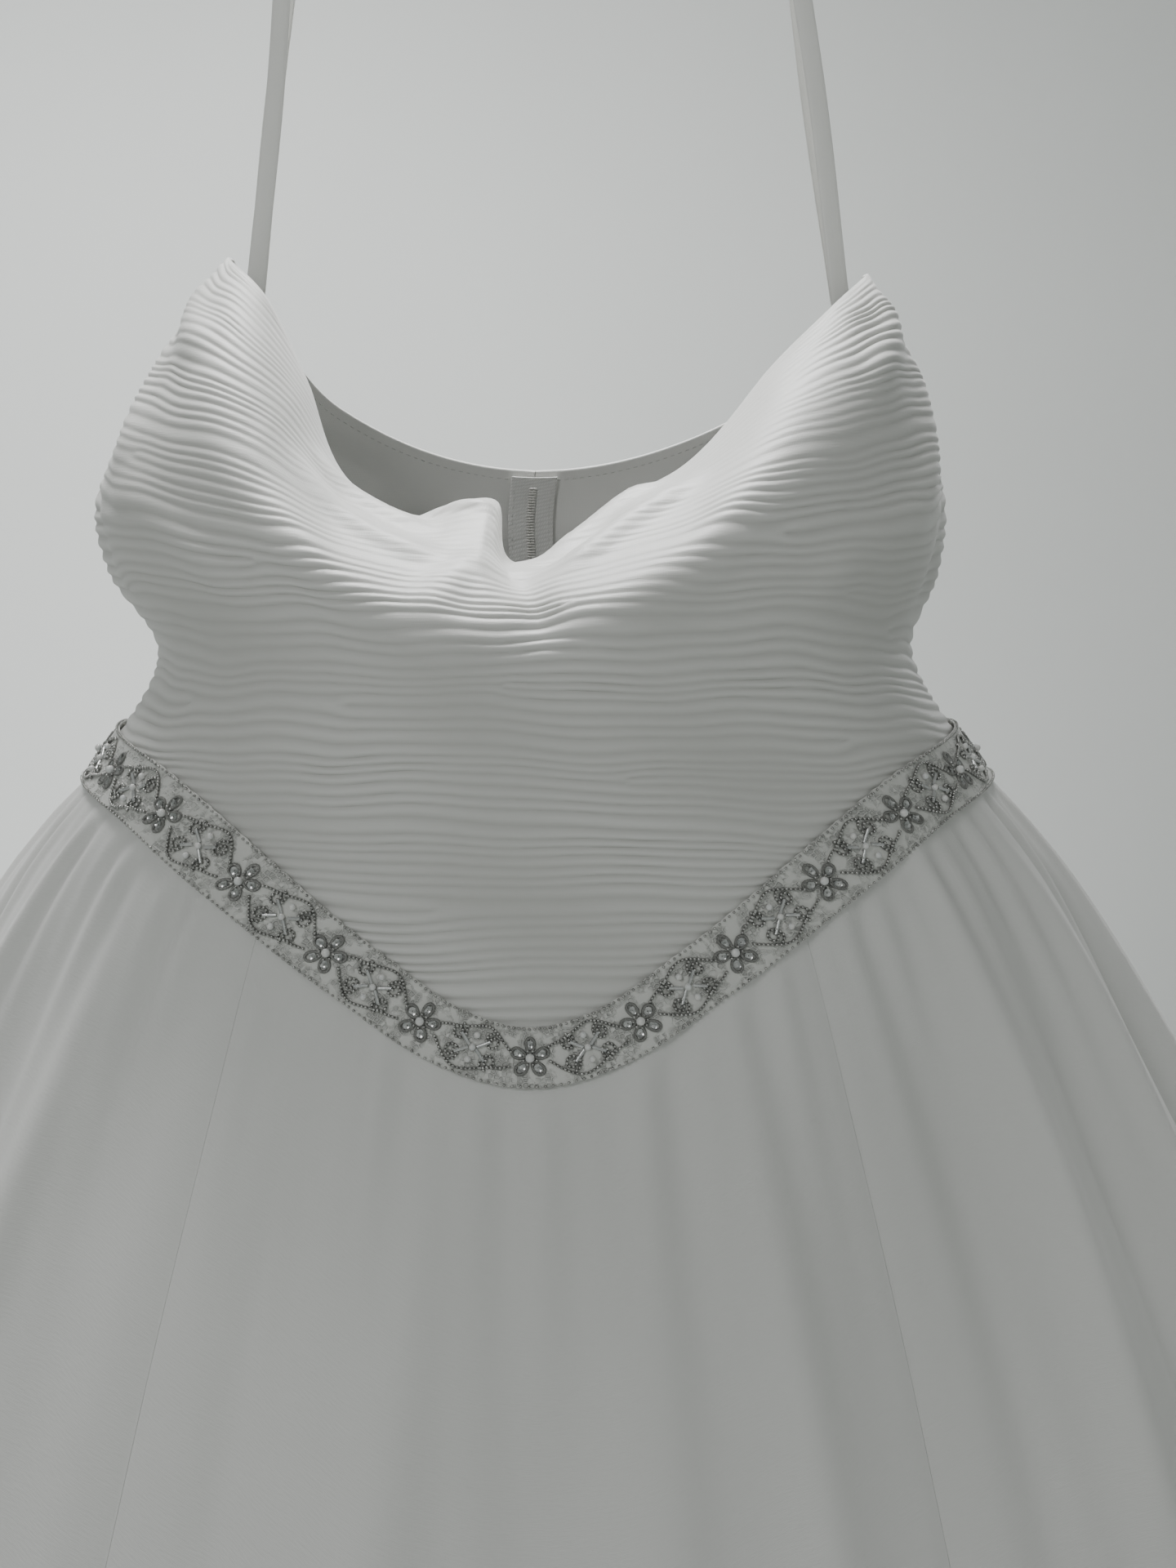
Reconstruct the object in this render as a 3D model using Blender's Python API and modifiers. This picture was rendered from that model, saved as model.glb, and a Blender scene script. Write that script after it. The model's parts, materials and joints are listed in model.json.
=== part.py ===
"""Strapless ball gown, hung by two ribbon loops on a plain hanger.

Metres, +Z up. The origin is the inside of the top of the hanger's hook, where a rod bears. The front
of the gown faces -Y, and left and right are the wearer's, so the left side is at +X. Every panel is
cut from one surface, given by an angle round the body and a height, so neighbours meet at their seams.
The cloth lies inside that surface, the beaded band lies on it, and the zip closes the centre back.
"""
import math

import bmesh
import bpy
from mathutils import Matrix, Vector

# Cloth
BODICE_CLOTH = 0.0018          # pleated satin on its boned ground
SKIRT_CLOTH = 0.0014           # satin with its organza underlay
BAND_CLOTH = 0.0012
ZIP_TAPE_CLOTH = 0.0009
SEAM_GAP = 0.0003
LAY_GAP = 0.0006               # between a panel and what is laid on it

# Body of the gown: height, half width, depth in front of the side seams, depth behind them, and
# how far it sways to the wearer's left as it hangs
SECTIONS = (
    (-0.290, 0.117, 0.098, 0.088, 0.003),
    (-0.340, 0.141, 0.108, 0.094, 0.000),
    (-0.385, 0.160, 0.116, 0.098, -0.006),
    (-0.415, 0.157, 0.121, 0.099, -0.005),
    (-0.445, 0.143, 0.122, 0.094, -0.001),
    (-0.480, 0.163, 0.117, 0.092, 0.000),
    (-0.530, 0.203, 0.111, 0.108, 0.000),
    (-0.590, 0.238, 0.117, 0.134, 0.000),
    (-0.690, 0.285, 0.152, 0.176, 0.000),
    (-0.850, 0.347, 0.213, 0.219, 0.000),
    (-1.050, 0.407, 0.276, 0.254, 0.000),
    (-1.300, 0.468, 0.340, 0.287, 0.000),
    (-1.550, 0.520, 0.392, 0.312, 0.000),
)
HEM_HEIGHT = -1.550

# Top edge: sine of the angle round the body, height
FRONT_EDGE = (
    (-1.00, -0.296),
    (-0.77, -0.316),
    (-0.56, -0.348),
    (-0.36, -0.386),
    (-0.05, -0.3995),
    (0.34, -0.381),
    (0.60, -0.342),
    (0.80, -0.320),
    (1.00, -0.302),
)
BACK_EDGE = (
    (-1.00, -0.296),
    (-0.60, -0.343),
    (0.00, -0.367),
    (0.60, -0.345),
    (1.00, -0.302),
)
FRONT_LEAN = 0.62              # share of its depth that the slack front loses at the edge
BACK_LEAN = 0.03
FRONT_LEAN_DROP = 0.054        # height over which it leans
BACK_LEAN_DROP = 0.020
FRONT_TURN = math.radians(80)  # how far over the edge has turned
BACK_TURN = math.radians(45)

# Waist seam, which dips to a point in front: sine of the angle round the body, height
POINT_HEIGHT = -0.577
SIDE_WAIST_HEIGHT = -0.4825
FRONT_WAIST = (
    (-0.12, -0.570),
    (0.00, POINT_HEIGHT),
    (0.12, -0.570),
    (0.26, -0.551),
    (0.50, -0.520),
    (0.75, -0.496),
    (1.00, SIDE_WAIST_HEIGHT),
)
BACK_WAIST_DIP = 0.012

# Ruching on the front of the bodice
PLEAT_PITCH = 0.0145
PLEAT_DEPTH = 0.0014
EDGE_PLEATS = 4
PLEAT_SNAP = 0.3               # share of the pitch within which a row joins the panel's edge

# Rows up the back of the bodice, below and above the start of its lean
BACK_STRAIGHT_ROWS = 8
BACK_LEANING_ROWS = 4

# Beaded band over the waist seam
BAND_HALF_WIDTH = 0.011

# Columns round the body, each a step of this angle, and the rough radius of each panel, which turns
# a seam's gap into an angle
COLUMN = math.radians(3.75)
BODICE_RADIUS = 0.13
BACK_RADIUS = 0.10
SKIRT_TOP_RADIUS = 0.10
SKIRT_FLARE = 0.34             # growth of the skirt's radius from its waist seam to its hem
QUARTER = 24                   # columns from front centre to side seam
FRONT_GORE = 7                 # columns from front centre to its seams
BACK_GORE = 11                 # columns from back centre to its seams
SIDE_BACK_SEAM = 2 * QUARTER - BACK_GORE

# Skirt: shares of the way from waist seam to hem, and the folds between one gore seam and the next
SKIRT_ROWS = (0.035, 0.075, 0.14, 0.22, 0.32, 0.44, 0.57, 0.71, 0.86, 1.0)
FOLD_DEPTH_AT_HEM = 0.040
FOLD_GROWTH = 1.15
FRONT_FOLDS = (0.85, 1.0, 0.75)
SIDE_FRONT_FOLDS = (1.0, 0.8, 1.15, 0.9)
SIDE_BACK_FOLDS = (0.95, 1.1, 0.85)
BACK_FOLDS = (1.0, 1.1)

# Hanger
HOOK_BEND_RADIUS = 0.0205      # to the wire's centre line
WIRE_RADIUS = 0.0018
HANGER_HALF_SPAN = 0.195
HANGER_THICKNESS = 0.013
HANGER_DEPTH = 0.021           # height of the bar at the middle
HANGER_END_DEPTH = 0.015
HANGER_TOP = -0.072            # top of the bar at the middle
HANGER_DROP = 0.050            # from there down to the tips
NOTCH_X = 0.082
NOTCH_HALF_WIDTH = 0.0065
NOTCH_DEPTH = 0.0025
NOTCH_CLEAR = 0.003            # from a notch to the nearest other point of the outline
HANGER_CURVE = 1.7             # power of the distance from the middle that the bar falls by
HANGER_STEPS = 26
HANGER_EDGE = 0.0025           # bevel along its edges
NECK_LENGTH = 0.008            # from the hook's bend down to the middle of the hanger

# Hanging loops
RIBBON_WIDTH = 0.007
RIBBON_THICKNESS = 0.001
LOOP_TAIL = 0.016              # length sewn inside the bodice
LOOP_TAIL_HALF_WIDTH = 0.0009
LOOP_SIDE_GAP = 0.0009         # beside the hanger's bar
LOOP_CROWN = 0.0046            # rise of its top above the widest place
LOOP_SEAT = 0.0010             # from the notch's floor down to the widest place
LOOP_INSET = 0.0035            # between the bodice's lining and the loop's near edge

# Zip
ZIP_END_HEIGHT = -0.640
TAPE_GAP = 0.0016               # behind the back panels
ZIP_TAPE_HALF_WIDTH = 0.010
ZIP_TOP_SHARE = 0.85           # how far up the leaning stretch the tape reaches
SLIDER_SHARE = 0.45            # how far up the leaning stretch the slider sits
SLIDER_SIZE = (0.0064, 0.0018, 0.0094)
BRIDGE_WIDTH = 0.0012
BRIDGE_REACH = 0.0026          # from the pull's axis to the bridge's outer faces
BRIDGE_BAR = 0.0008
BRIDGE_ROOT = 0.0002           # how far it sinks into the slider's face
BRIDGE_CLEARANCE = 0.0004      # between its roof and the pull's bar
PULL_AXIS_HEIGHT = 0.0020      # above the slider's face
PULL_LENGTH = 0.020
PULL_THICKNESS = 0.0010
PULL_BAR = 0.0010
PULL_WINDOW_HALF_WIDTH = 0.0011
PULL_WINDOW_REACH = 0.0036
PULL_TIP_RADIUS = 0.0032


def spline_value(points, place, column=1):
    """Value of one column at a place on a smooth curve through rows whose first column rises or falls."""
    rows = points if points[0][0] < points[-1][0] else points[::-1]
    last = len(rows) - 1
    place = min(max(place, rows[0][0]), rows[last][0])
    index = min(max(sum(row[0] <= place for row in rows) - 1, 0), last - 1)

    def slope(at):
        low, high = max(at - 1, 0), min(at + 1, last)
        return (rows[high][column] - rows[low][column]) / (rows[high][0] - rows[low][0])

    start, end = rows[index], rows[index + 1]
    span = end[0] - start[0]
    share = (place - start[0]) / span
    rest = 1 - share
    return (start[column] * rest * rest * (1 + 2 * share) + end[column] * share * share * (1 + 2 * rest)
            + span * share * rest * (slope(index) * rest - slope(index + 1) * share))


def body_point(angle, height, depth_share=1.0):
    """Point of the gown's outer surface; the angle is 0 at the front and grows towards +X."""
    half_width = spline_value(SECTIONS, height, 1)
    depth = spline_value(SECTIONS, height, 2 if math.cos(angle) >= 0 else 3)
    sway = spline_value(SECTIONS, height, 4)
    return Vector((sway + half_width * math.sin(angle), -depth * math.cos(angle) * depth_share, height))


def waist_height(angle):
    """Height of the waist seam."""
    if math.cos(angle) < 0:
        return SIDE_WAIST_HEIGHT - BACK_WAIST_DIP * math.cos(angle) ** 2
    return spline_value(FRONT_WAIST, abs(math.sin(angle)))


def top_height(angle):
    """Height of the bodice's top edge."""
    edge = FRONT_EDGE if math.cos(angle) >= 0 else BACK_EDGE
    return spline_value(edge, math.sin(angle))


def lean_start(angle):
    """Height at which the bodice starts to lean back towards its top edge."""
    drop = FRONT_LEAN_DROP if math.cos(angle) >= 0 else BACK_LEAN_DROP
    side_drop = 0.5 * (FRONT_LEAN_DROP + BACK_LEAN_DROP)
    weight = math.cos(angle) ** 2
    return top_height(angle) - drop * weight - side_drop * (1 - weight)


def leaning_point(angle, share):
    """Point of the leaning stretch, from its start at share 0 to the top edge at share 1."""
    lean, full_turn = (FRONT_LEAN, FRONT_TURN) if math.cos(angle) >= 0 else (BACK_LEAN, BACK_TURN)
    turn = share * full_turn
    start = lean_start(angle)
    height = start + (top_height(angle) - start) * math.sin(turn) / math.sin(full_turn)
    inward = (1 - math.cos(turn)) / (1 - math.cos(full_turn))
    return body_point(angle, height, 1 - lean * inward)


def outward(surface, angle, place):
    """Outward normal of a surface given as a function of an angle and of a height or share."""
    step = 0.0005
    along = surface(angle + step, place) - surface(angle - step, place)
    up = surface(angle, place + step) - surface(angle, place - step)
    return along.cross(up).normalized()


def gore_spans():
    """Each gore's name, first and last column, and the strengths of its folds."""
    half = 2 * QUARTER
    left = (
        ("side_front_left", FRONT_GORE, QUARTER, SIDE_FRONT_FOLDS),
        ("side_back_left", QUARTER, SIDE_BACK_SEAM, SIDE_BACK_FOLDS),
        ("back_left", SIDE_BACK_SEAM, half, BACK_FOLDS),
    )
    spans = [("front", -FRONT_GORE, FRONT_GORE, FRONT_FOLDS)]
    for name, first, last, folds in left:
        spans.append((name, first, last, folds))
        spans.append((name.replace("left", "right"), -last, -first, folds[::-1]))
    return spans


def fold_depth(share_across, share_down, folds):
    """How far a fold stands out from the skirt's surface; a gore's seams lie in the troughs."""
    place = share_across * len(folds)
    index = min(int(place), len(folds) - 1)
    wave = 0.5 - 0.5 * math.cos(2 * math.pi * (place - index))
    return FOLD_DEPTH_AT_HEM * folds[index] * wave * share_down ** FOLD_GROWTH


def make_material(name, colour, roughness, metallic=0.0):
    """Principled material of one colour."""
    material = bpy.data.materials.new(name)
    material.use_nodes = True
    shader = material.node_tree.nodes["Principled BSDF"]
    shader.inputs["Base Color"].default_value = (*colour, 1.0)
    shader.inputs["Roughness"].default_value = roughness
    shader.inputs["Metallic"].default_value = metallic
    return material


def add_object(name, data, material, collection, place=None):
    """Add an object with its material to a collection."""
    piece = bpy.data.objects.new(name, data)
    data.materials.clear()
    data.materials.append(material)
    collection.objects.link(piece)
    if place is not None:
        piece.matrix_world = place
    return piece


def wall_mesh(name, columns, rows, place, cloth):
    """Flat grid extruded to a wall: place(share across, share up) gives its outer point and normal."""
    grid = bmesh.new()
    bmesh.ops.create_grid(grid, x_segments=columns, y_segments=rows, size=0.5)
    outer = list(grid.verts)
    copied = bmesh.ops.extrude_face_region(grid, geom=list(grid.faces), use_keep_orig=True)
    inner = [item for item in copied["geom"] if isinstance(item, bmesh.types.BMVert)]
    for vertices, depth in ((outer, 0.0), (inner, cloth)):
        for vertex in vertices:
            point, normal = place(vertex.co.x + 0.5, vertex.co.y + 0.5)
            vertex.co = point - normal * depth
    bmesh.ops.remove_doubles(grid, verts=grid.verts, dist=0.00005)
    bmesh.ops.recalc_face_normals(grid, faces=grid.faces)
    mesh = bpy.data.meshes.new(name)
    grid.to_mesh(mesh)
    grid.free()
    return mesh


def add_sheet(name, columns, rows, place, cloth, material, collection):
    """Panel of cloth, with its thickness on the inside."""
    add_object(name, wall_mesh(name, columns, rows, place, cloth), material, collection)


def seam_angle(first, last, share, radius):
    """Angle at a share of the way from one column to another, half a seam gap short of each seam."""
    angle = (first + (last - first) * share) * COLUMN
    middle = 0.5 * (first + last) * COLUMN
    half_gap = 0.5 * SEAM_GAP / radius
    reach = 0.5 * (last - first) * COLUMN
    return middle + (angle - middle) * (1 - half_gap / reach)


def bodice_rows():
    """Heights of the pleats' valleys and crests, from the waist point up to the highest lean start."""
    top = lean_start(math.pi / 2)
    count = 2 * round((top - POINT_HEIGHT) / PLEAT_PITCH)
    return [POINT_HEIGHT + (top - POINT_HEIGHT) * index / count for index in range(count + 1)]


def bodice_front_place():
    """Return the number of rows of the bodice's front and the function that places its points."""
    heights = bodice_rows()
    straight = len(heights) - 1
    leaning = 2 * EDGE_PLEATS
    total = straight + leaning
    snap = PLEAT_SNAP * PLEAT_PITCH

    def place(across, up):
        angle = seam_angle(-QUARTER, QUARTER, across, BODICE_RADIUS)
        row = round(up * total)
        crest = PLEAT_DEPTH * (row % 2)
        if row > straight:
            share = (row - straight) / leaning
            normal = outward(leaning_point, angle, share)
            crest = 0 if row == total else crest
            return leaning_point(angle, share) + normal * crest, normal
        low = waist_height(angle) + 0.5 * SEAM_GAP
        high = lean_start(angle)
        height = heights[row]
        if height < low + snap:
            height, crest = low, 0
        if height > high - snap:
            height, crest = high, 0
        if low < height < low + 2 * BAND_HALF_WIDTH:
            crest = 0 if height < low + BAND_HALF_WIDTH + PLEAT_PITCH else crest
        normal = outward(body_point, angle, height)
        return body_point(angle, height) + normal * crest, normal

    return total, place


def bodice_back_place(first, last):
    """Return the function that places the points of one back panel of the bodice."""
    def place(across, up):
        angle = seam_angle(first, last, across, BACK_RADIUS)
        row = round(up * (BACK_STRAIGHT_ROWS + BACK_LEANING_ROWS))
        low = waist_height(angle) + 0.5 * SEAM_GAP
        if row > BACK_STRAIGHT_ROWS:
            share = (row - BACK_STRAIGHT_ROWS) / BACK_LEANING_ROWS
            return leaning_point(angle, share), outward(leaning_point, angle, share)
        height = low
        if row > 0:
            low += BAND_HALF_WIDTH
            height = low + (lean_start(angle) - low) * (row - 1) / (BACK_STRAIGHT_ROWS - 1)
        return body_point(angle, height), outward(body_point, angle, height)

    return place


def build_bodice(materials, collection):
    """Build the front of the bodice and the two back panels."""
    rows, place = bodice_front_place()
    add_sheet("bodice_front", QUARTER, rows, place, BODICE_CLOTH, materials["satin"], collection)
    for name, first, last in (("left", QUARTER, 2 * QUARTER), ("right", -2 * QUARTER, -QUARTER)):
        add_sheet(f"bodice_back_{name}", QUARTER // 2, BACK_STRAIGHT_ROWS + BACK_LEANING_ROWS,
                  bodice_back_place(first, last), BODICE_CLOTH, materials["satin"], collection)


def skirt_place(first, last, folds):
    """Return the function that places one gore's points, from its hem up to the waist seam."""
    shares = [0.0, None, *SKIRT_ROWS]

    def place(across, up):
        row = len(shares) - 1 - round(up * (len(shares) - 1))
        middle = waist_height((first + (last - first) * across) * COLUMN)
        length = middle - HEM_HEIGHT
        share = BAND_HALF_WIDTH / length if row == 1 else shares[row]
        angle = seam_angle(first, last, across, SKIRT_TOP_RADIUS + SKIRT_FLARE * share)
        top = waist_height(angle) - 0.5 * SEAM_GAP
        height = top + (HEM_HEIGHT - top) * share
        depth = 0 if row <= 1 else fold_depth(across, share, folds)
        normal = outward(body_point, angle, height)
        level = Vector((normal.x, normal.y, 0)).normalized()
        return body_point(angle, height) + level * depth, normal

    return place


def build_skirt(materials, collection):
    """Build the seven gores of the skirt."""
    rows = len(SKIRT_ROWS) + 1
    for name, first, last, folds in gore_spans():
        add_sheet(f"skirt_{name}", last - first, rows, skirt_place(first, last, folds),
                  SKIRT_CLOTH, materials["skirt"], collection)


def band_place(first, last):
    """Return the function that places the band's points, which are the panels' points moved out."""
    def place(across, up):
        angle = seam_angle(first, last, across, BODICE_RADIUS)
        height = waist_height(angle) + (2 * up - 1) * BAND_HALF_WIDTH
        normal = outward(body_point, angle, height)
        return body_point(angle, height) + normal * (LAY_GAP + BAND_CLOTH), normal

    return place


def build_band(materials, collection):
    """Build the beaded band, which is joined at the side seams and open at the zip."""
    spans = (
        ("front", -QUARTER, QUARTER),
        ("back_left", QUARTER, 2 * QUARTER),
        ("back_right", -2 * QUARTER, -QUARTER),
    )
    for name, first, last in spans:
        add_sheet(f"band_{name}", last - first, 2, band_place(first, last), BAND_CLOTH,
                  materials["band"], collection)


def build_zip_tape(materials, collection):
    """Build the zip's tape, which lies behind the centre-back seam."""
    straight_rows = 10
    leaning_rows = 3
    inside = BODICE_CLOTH + TAPE_GAP

    def place(across, up):
        row = round(up * (straight_rows + leaning_rows))
        offset = (2 * across - 1) * ZIP_TAPE_HALF_WIDTH
        if row > straight_rows:
            surface = leaning_point
            level = ZIP_TOP_SHARE * (row - straight_rows) / leaning_rows
            height = leaning_point(math.pi, level).z
        else:
            surface = body_point
            level = ZIP_END_HEIGHT + (lean_start(math.pi) - ZIP_END_HEIGHT) * row / straight_rows
            height = level
        angle = math.pi + math.asin(offset / spline_value(SECTIONS, height, 1))
        normal = outward(surface, angle, level)
        return surface(angle, level) - normal * inside, normal

    rows = straight_rows + leaning_rows
    add_sheet("zip_tape", 2, rows, place, ZIP_TAPE_CLOTH, materials["tape"], collection)


def outline_curve(name, outlines, thickness):
    """Flat filled curve through closed outlines of (x, y) points, the later ones being holes."""
    curve = bpy.data.curves.new(name, "CURVE")
    curve.dimensions = "2D"
    curve.fill_mode = "BOTH"
    curve.extrude = 0.5 * thickness
    for points in outlines:
        spline = curve.splines.new("POLY")
        spline.points.add(len(points) - 1)
        for point, (x, y) in zip(spline.points, points):
            point.co = (x, y, 0, 1)
        spline.use_cyclic_u = True
    return curve


def curve_to_mesh(name, curve):
    """Mesh of a curve with its caps joined to its sides."""
    holder = bpy.data.objects.new(name, curve)
    bpy.context.scene.collection.objects.link(holder)
    bpy.context.view_layer.update()
    mesh = bpy.data.meshes.new_from_object(holder.evaluated_get(bpy.context.evaluated_depsgraph_get()))
    bpy.data.objects.remove(holder)
    work = bmesh.new()
    work.from_mesh(mesh)
    bmesh.ops.remove_doubles(work, verts=work.verts, dist=0.00001)
    bmesh.ops.recalc_face_normals(work, faces=work.faces)
    work.to_mesh(mesh)
    work.free()
    return mesh


def upright(origin, normal, up):
    """Matrix that stands a flat outline up: its y goes up, and its thickness along the normal."""
    side = up.cross(normal).normalized()
    turn = Matrix((side, up.normalized(), normal.normalized())).transposed()
    return Matrix.Translation(origin) @ turn.to_4x4()


def hanger_outline():
    """Outline of the hanger's bar, an arc with a notch on each side for the loops."""
    def bar_top(x):
        sag = HANGER_DROP * (abs(x) / HANGER_HALF_SPAN) ** HANGER_CURVE
        notch = max(0.0, 1 - ((abs(x) - NOTCH_X) / NOTCH_HALF_WIDTH) ** 2)
        return HANGER_TOP - sag - NOTCH_DEPTH * notch

    def bar_bottom(x):
        share = (abs(x) / HANGER_HALF_SPAN) ** HANGER_CURVE
        depth = HANGER_DEPTH + (HANGER_END_DEPTH - HANGER_DEPTH) * share
        return HANGER_TOP - HANGER_DROP * share - depth

    places = [HANGER_HALF_SPAN * (2 * step / HANGER_STEPS - 1) for step in range(HANGER_STEPS + 1)]
    clear = [x for x in places if abs(abs(x) - NOTCH_X) > NOTCH_HALF_WIDTH + NOTCH_CLEAR]
    shifts = (-1, -0.6, 0, 0.6, 1)
    notches = [side * NOTCH_X + shift * NOTCH_HALF_WIDTH for side in (-1, 1) for shift in shifts]
    top = [(x, bar_top(x)) for x in sorted(clear + notches)]
    bottom = [(x, bar_bottom(x)) for x in reversed(places)]
    return top + bottom


def build_hanger(materials, collection):
    """Build the hanger's bar and its wire hook."""
    curve = outline_curve("hanger_bar", [hanger_outline()], HANGER_THICKNESS)
    mesh = curve_to_mesh("hanger_bar", curve)
    place = upright(Vector((0, 0, 0)), Vector((0, -1, 0)), Vector((0, 0, 1)))
    bar = add_object("hanger_bar", mesh, materials["hanger"], collection, place)
    edges = bar.modifiers.new("edges", "BEVEL")
    edges.width = HANGER_EDGE
    edges.segments = 1
    edges.limit_method = "ANGLE"
    edges.angle_limit = math.radians(50)

    hook = bpy.data.curves.new("hanger_hook", "CURVE")
    hook.dimensions = "3D"
    hook.bevel_depth = WIRE_RADIUS
    hook.bevel_resolution = 2
    hook.use_fill_caps = True
    centre = -(HOOK_BEND_RADIUS - WIRE_RADIUS)
    bend = [math.radians(200 - 250 * step / 24) for step in range(25)]
    route = [(HOOK_BEND_RADIUS * math.cos(turn), centre + HOOK_BEND_RADIUS * math.sin(turn)) for turn in bend]
    neck_top = centre - HOOK_BEND_RADIUS - NECK_LENGTH
    half_neck = 0.5 * NECK_LENGTH
    route += [(half_neck, neck_top + half_neck), (0.0, neck_top), (0.0, HANGER_TOP + SEAM_GAP)]
    spline = hook.splines.new("POLY")
    spline.points.add(len(route) - 1)
    for point, (x, z) in zip(spline.points, route):
        point.co = (x, 0, z, 1)
    add_object("hanger_hook", hook, materials["wire"], collection)


def loop_outlines(length):
    """Outer and inner outline of a hanging loop, seen edge on, with its top round the hanger."""
    half_width = 0.5 * HANGER_THICKNESS + LOOP_SIDE_GAP
    outlines = []
    for grow in (RIBBON_THICKNESS, 0.0):
        width = half_width + grow
        reach = length * width / half_width
        points = []
        for step in range(13):
            turn = math.pi * step / 12
            across = math.copysign(math.sqrt(abs(math.cos(turn))), math.cos(turn))
            points.append((width * across, (LOOP_CROWN + grow) * math.sqrt(math.sin(turn))))
        if grow:
            tail = reach * (LOOP_TAIL_HALF_WIDTH / width - 1)
            points += [(-LOOP_TAIL_HALF_WIDTH, tail), (LOOP_TAIL_HALF_WIDTH, tail)]
        else:
            points.append((0.0, -reach))
        outlines.append(points)
    return outlines


def build_loops(materials, collection):
    """Build the two ribbon loops, from inside the side seams up and over the hanger."""
    for name, side in (("left", 1), ("right", -1)):
        angle = side * math.pi / 2
        edge = body_point(angle, top_height(angle))
        inset = BODICE_CLOTH + LAY_GAP + 0.5 * RIBBON_WIDTH + LOOP_INSET
        low = Vector((edge.x - side * inset, 0, edge.z - LOOP_TAIL))
        notch_sag = HANGER_DROP * (NOTCH_X / HANGER_HALF_SPAN) ** HANGER_CURVE
        high = Vector((side * NOTCH_X, 0, HANGER_TOP - notch_sag - NOTCH_DEPTH - LOOP_SEAT))
        up = (high - low).normalized()
        outlines = loop_outlines((high - low).length)
        mesh = curve_to_mesh(f"loop_{name}", outline_curve(f"loop_{name}", outlines, RIBBON_WIDTH))
        normal = Vector((0, 1, 0)).cross(up)
        add_object(f"loop_{name}", mesh, materials["ribbon"], collection, upright(high, normal, up))


def box_mesh(name, boxes):
    """Mesh of boxes, each given by its lowest and highest corner."""
    mesh = bpy.data.meshes.new(name)
    work = bmesh.new()
    for low, high in boxes:
        middle = Vector([0.5 * (a + b) for a, b in zip(low, high)])
        size = Vector([b - a for a, b in zip(low, high)])
        place = Matrix.Translation(middle) @ Matrix.Diagonal((*size, 1))
        bmesh.ops.create_cube(work, size=1, matrix=place)
    work.to_mesh(mesh)
    work.free()
    return mesh


def zip_frame():
    """Frame at the slider: X across, Y out of the back, Z up along it, origin on the cloth."""
    point = leaning_point(math.pi, SLIDER_SHARE)
    rise = leaning_point(math.pi, SLIDER_SHARE + 0.05) - point
    tilt = math.atan2(-rise.y, rise.z)
    return Matrix.Translation(point) @ Matrix.Rotation(tilt, 4, "X")


def build_zip(materials, collection):
    """Build the slider on the centre-back seam and the pull that swings on its bridge."""
    build_zip_tape(materials, collection)
    frame = zip_frame()
    width, thick, tall = SLIDER_SIZE
    face = LAY_GAP + thick
    axis = face + PULL_AXIS_HEIGHT
    half_bridge = 0.5 * BRIDGE_WIDTH
    root = face - BRIDGE_ROOT
    roof = axis + 0.5 * PULL_BAR + BRIDGE_CLEARANCE
    top = roof + BRIDGE_BAR
    foot = BRIDGE_REACH - BRIDGE_BAR
    boxes = [((-0.5 * width, LAY_GAP, -0.5 * tall), (0.5 * width, face, 0.5 * tall))]
    slider = add_object("zip_slider", box_mesh("zip_slider", boxes), materials["metal"], collection, frame)
    bridge_boxes = (
        ((-half_bridge, root, foot), (half_bridge, top, BRIDGE_REACH)),
        ((-half_bridge, root, -BRIDGE_REACH), (half_bridge, top, -foot)),
        ((-half_bridge, roof, -BRIDGE_REACH), (half_bridge, top, BRIDGE_REACH)),
    )
    for index, corners in enumerate(bridge_boxes):
        join_box(slider, f"bridge_{index}", corners, frame)

    hinge = bpy.data.objects.new("zip_hinge", None)
    collection.objects.link(hinge)
    hinge.location = frame @ Vector((0, axis, 0))
    pull = add_object("zip_pull", pull_mesh(), materials["metal"], collection)
    pull.parent = hinge
    pull.rotation_euler = (math.pi / 2, 0, 0)


def join_box(target, name, corners, frame):
    """Join a box to a piece with a Boolean, its guide kept in the cutters' collection."""
    cutters = bpy.data.collections["cutters"]
    guide = bpy.data.objects.new(name, box_mesh(name, [corners]))
    cutters.objects.link(guide)
    guide.matrix_world = frame
    guide.hide_render = True
    guide.display_type = "WIRE"
    joint = target.modifiers.new(name, "BOOLEAN")
    joint.operation = "UNION"
    joint.solver = "EXACT"
    joint.object = guide


def pull_mesh():
    """Flat teardrop pull with a window for the bridge; its axis is the bar above the window."""
    bar = 0.5 * PULL_BAR
    neck = PULL_WINDOW_HALF_WIDTH + PULL_BAR
    arc = [math.radians(195 + 150 * step / 12) for step in range(13)]
    centre = -(PULL_LENGTH - bar - PULL_TIP_RADIUS)
    outer = [(neck, bar), (-neck, bar), (-neck, -PULL_WINDOW_REACH)]
    outer += [(PULL_TIP_RADIUS * math.cos(turn), centre + PULL_TIP_RADIUS * math.sin(turn)) for turn in arc]
    outer.append((neck, -PULL_WINDOW_REACH))
    half = PULL_WINDOW_HALF_WIDTH
    window = [(half, -bar), (-half, -bar), (-half, -PULL_WINDOW_REACH), (half, -PULL_WINDOW_REACH)]
    return curve_to_mesh("zip_pull", outline_curve("zip_pull", [outer, window], PULL_THICKNESS))


def clear_scene():
    """Remove every object and collection that is already there."""
    for item in list(bpy.data.objects):
        bpy.data.objects.remove(item, do_unlink=True)
    for group in list(bpy.data.collections):
        bpy.data.collections.remove(group)


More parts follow.
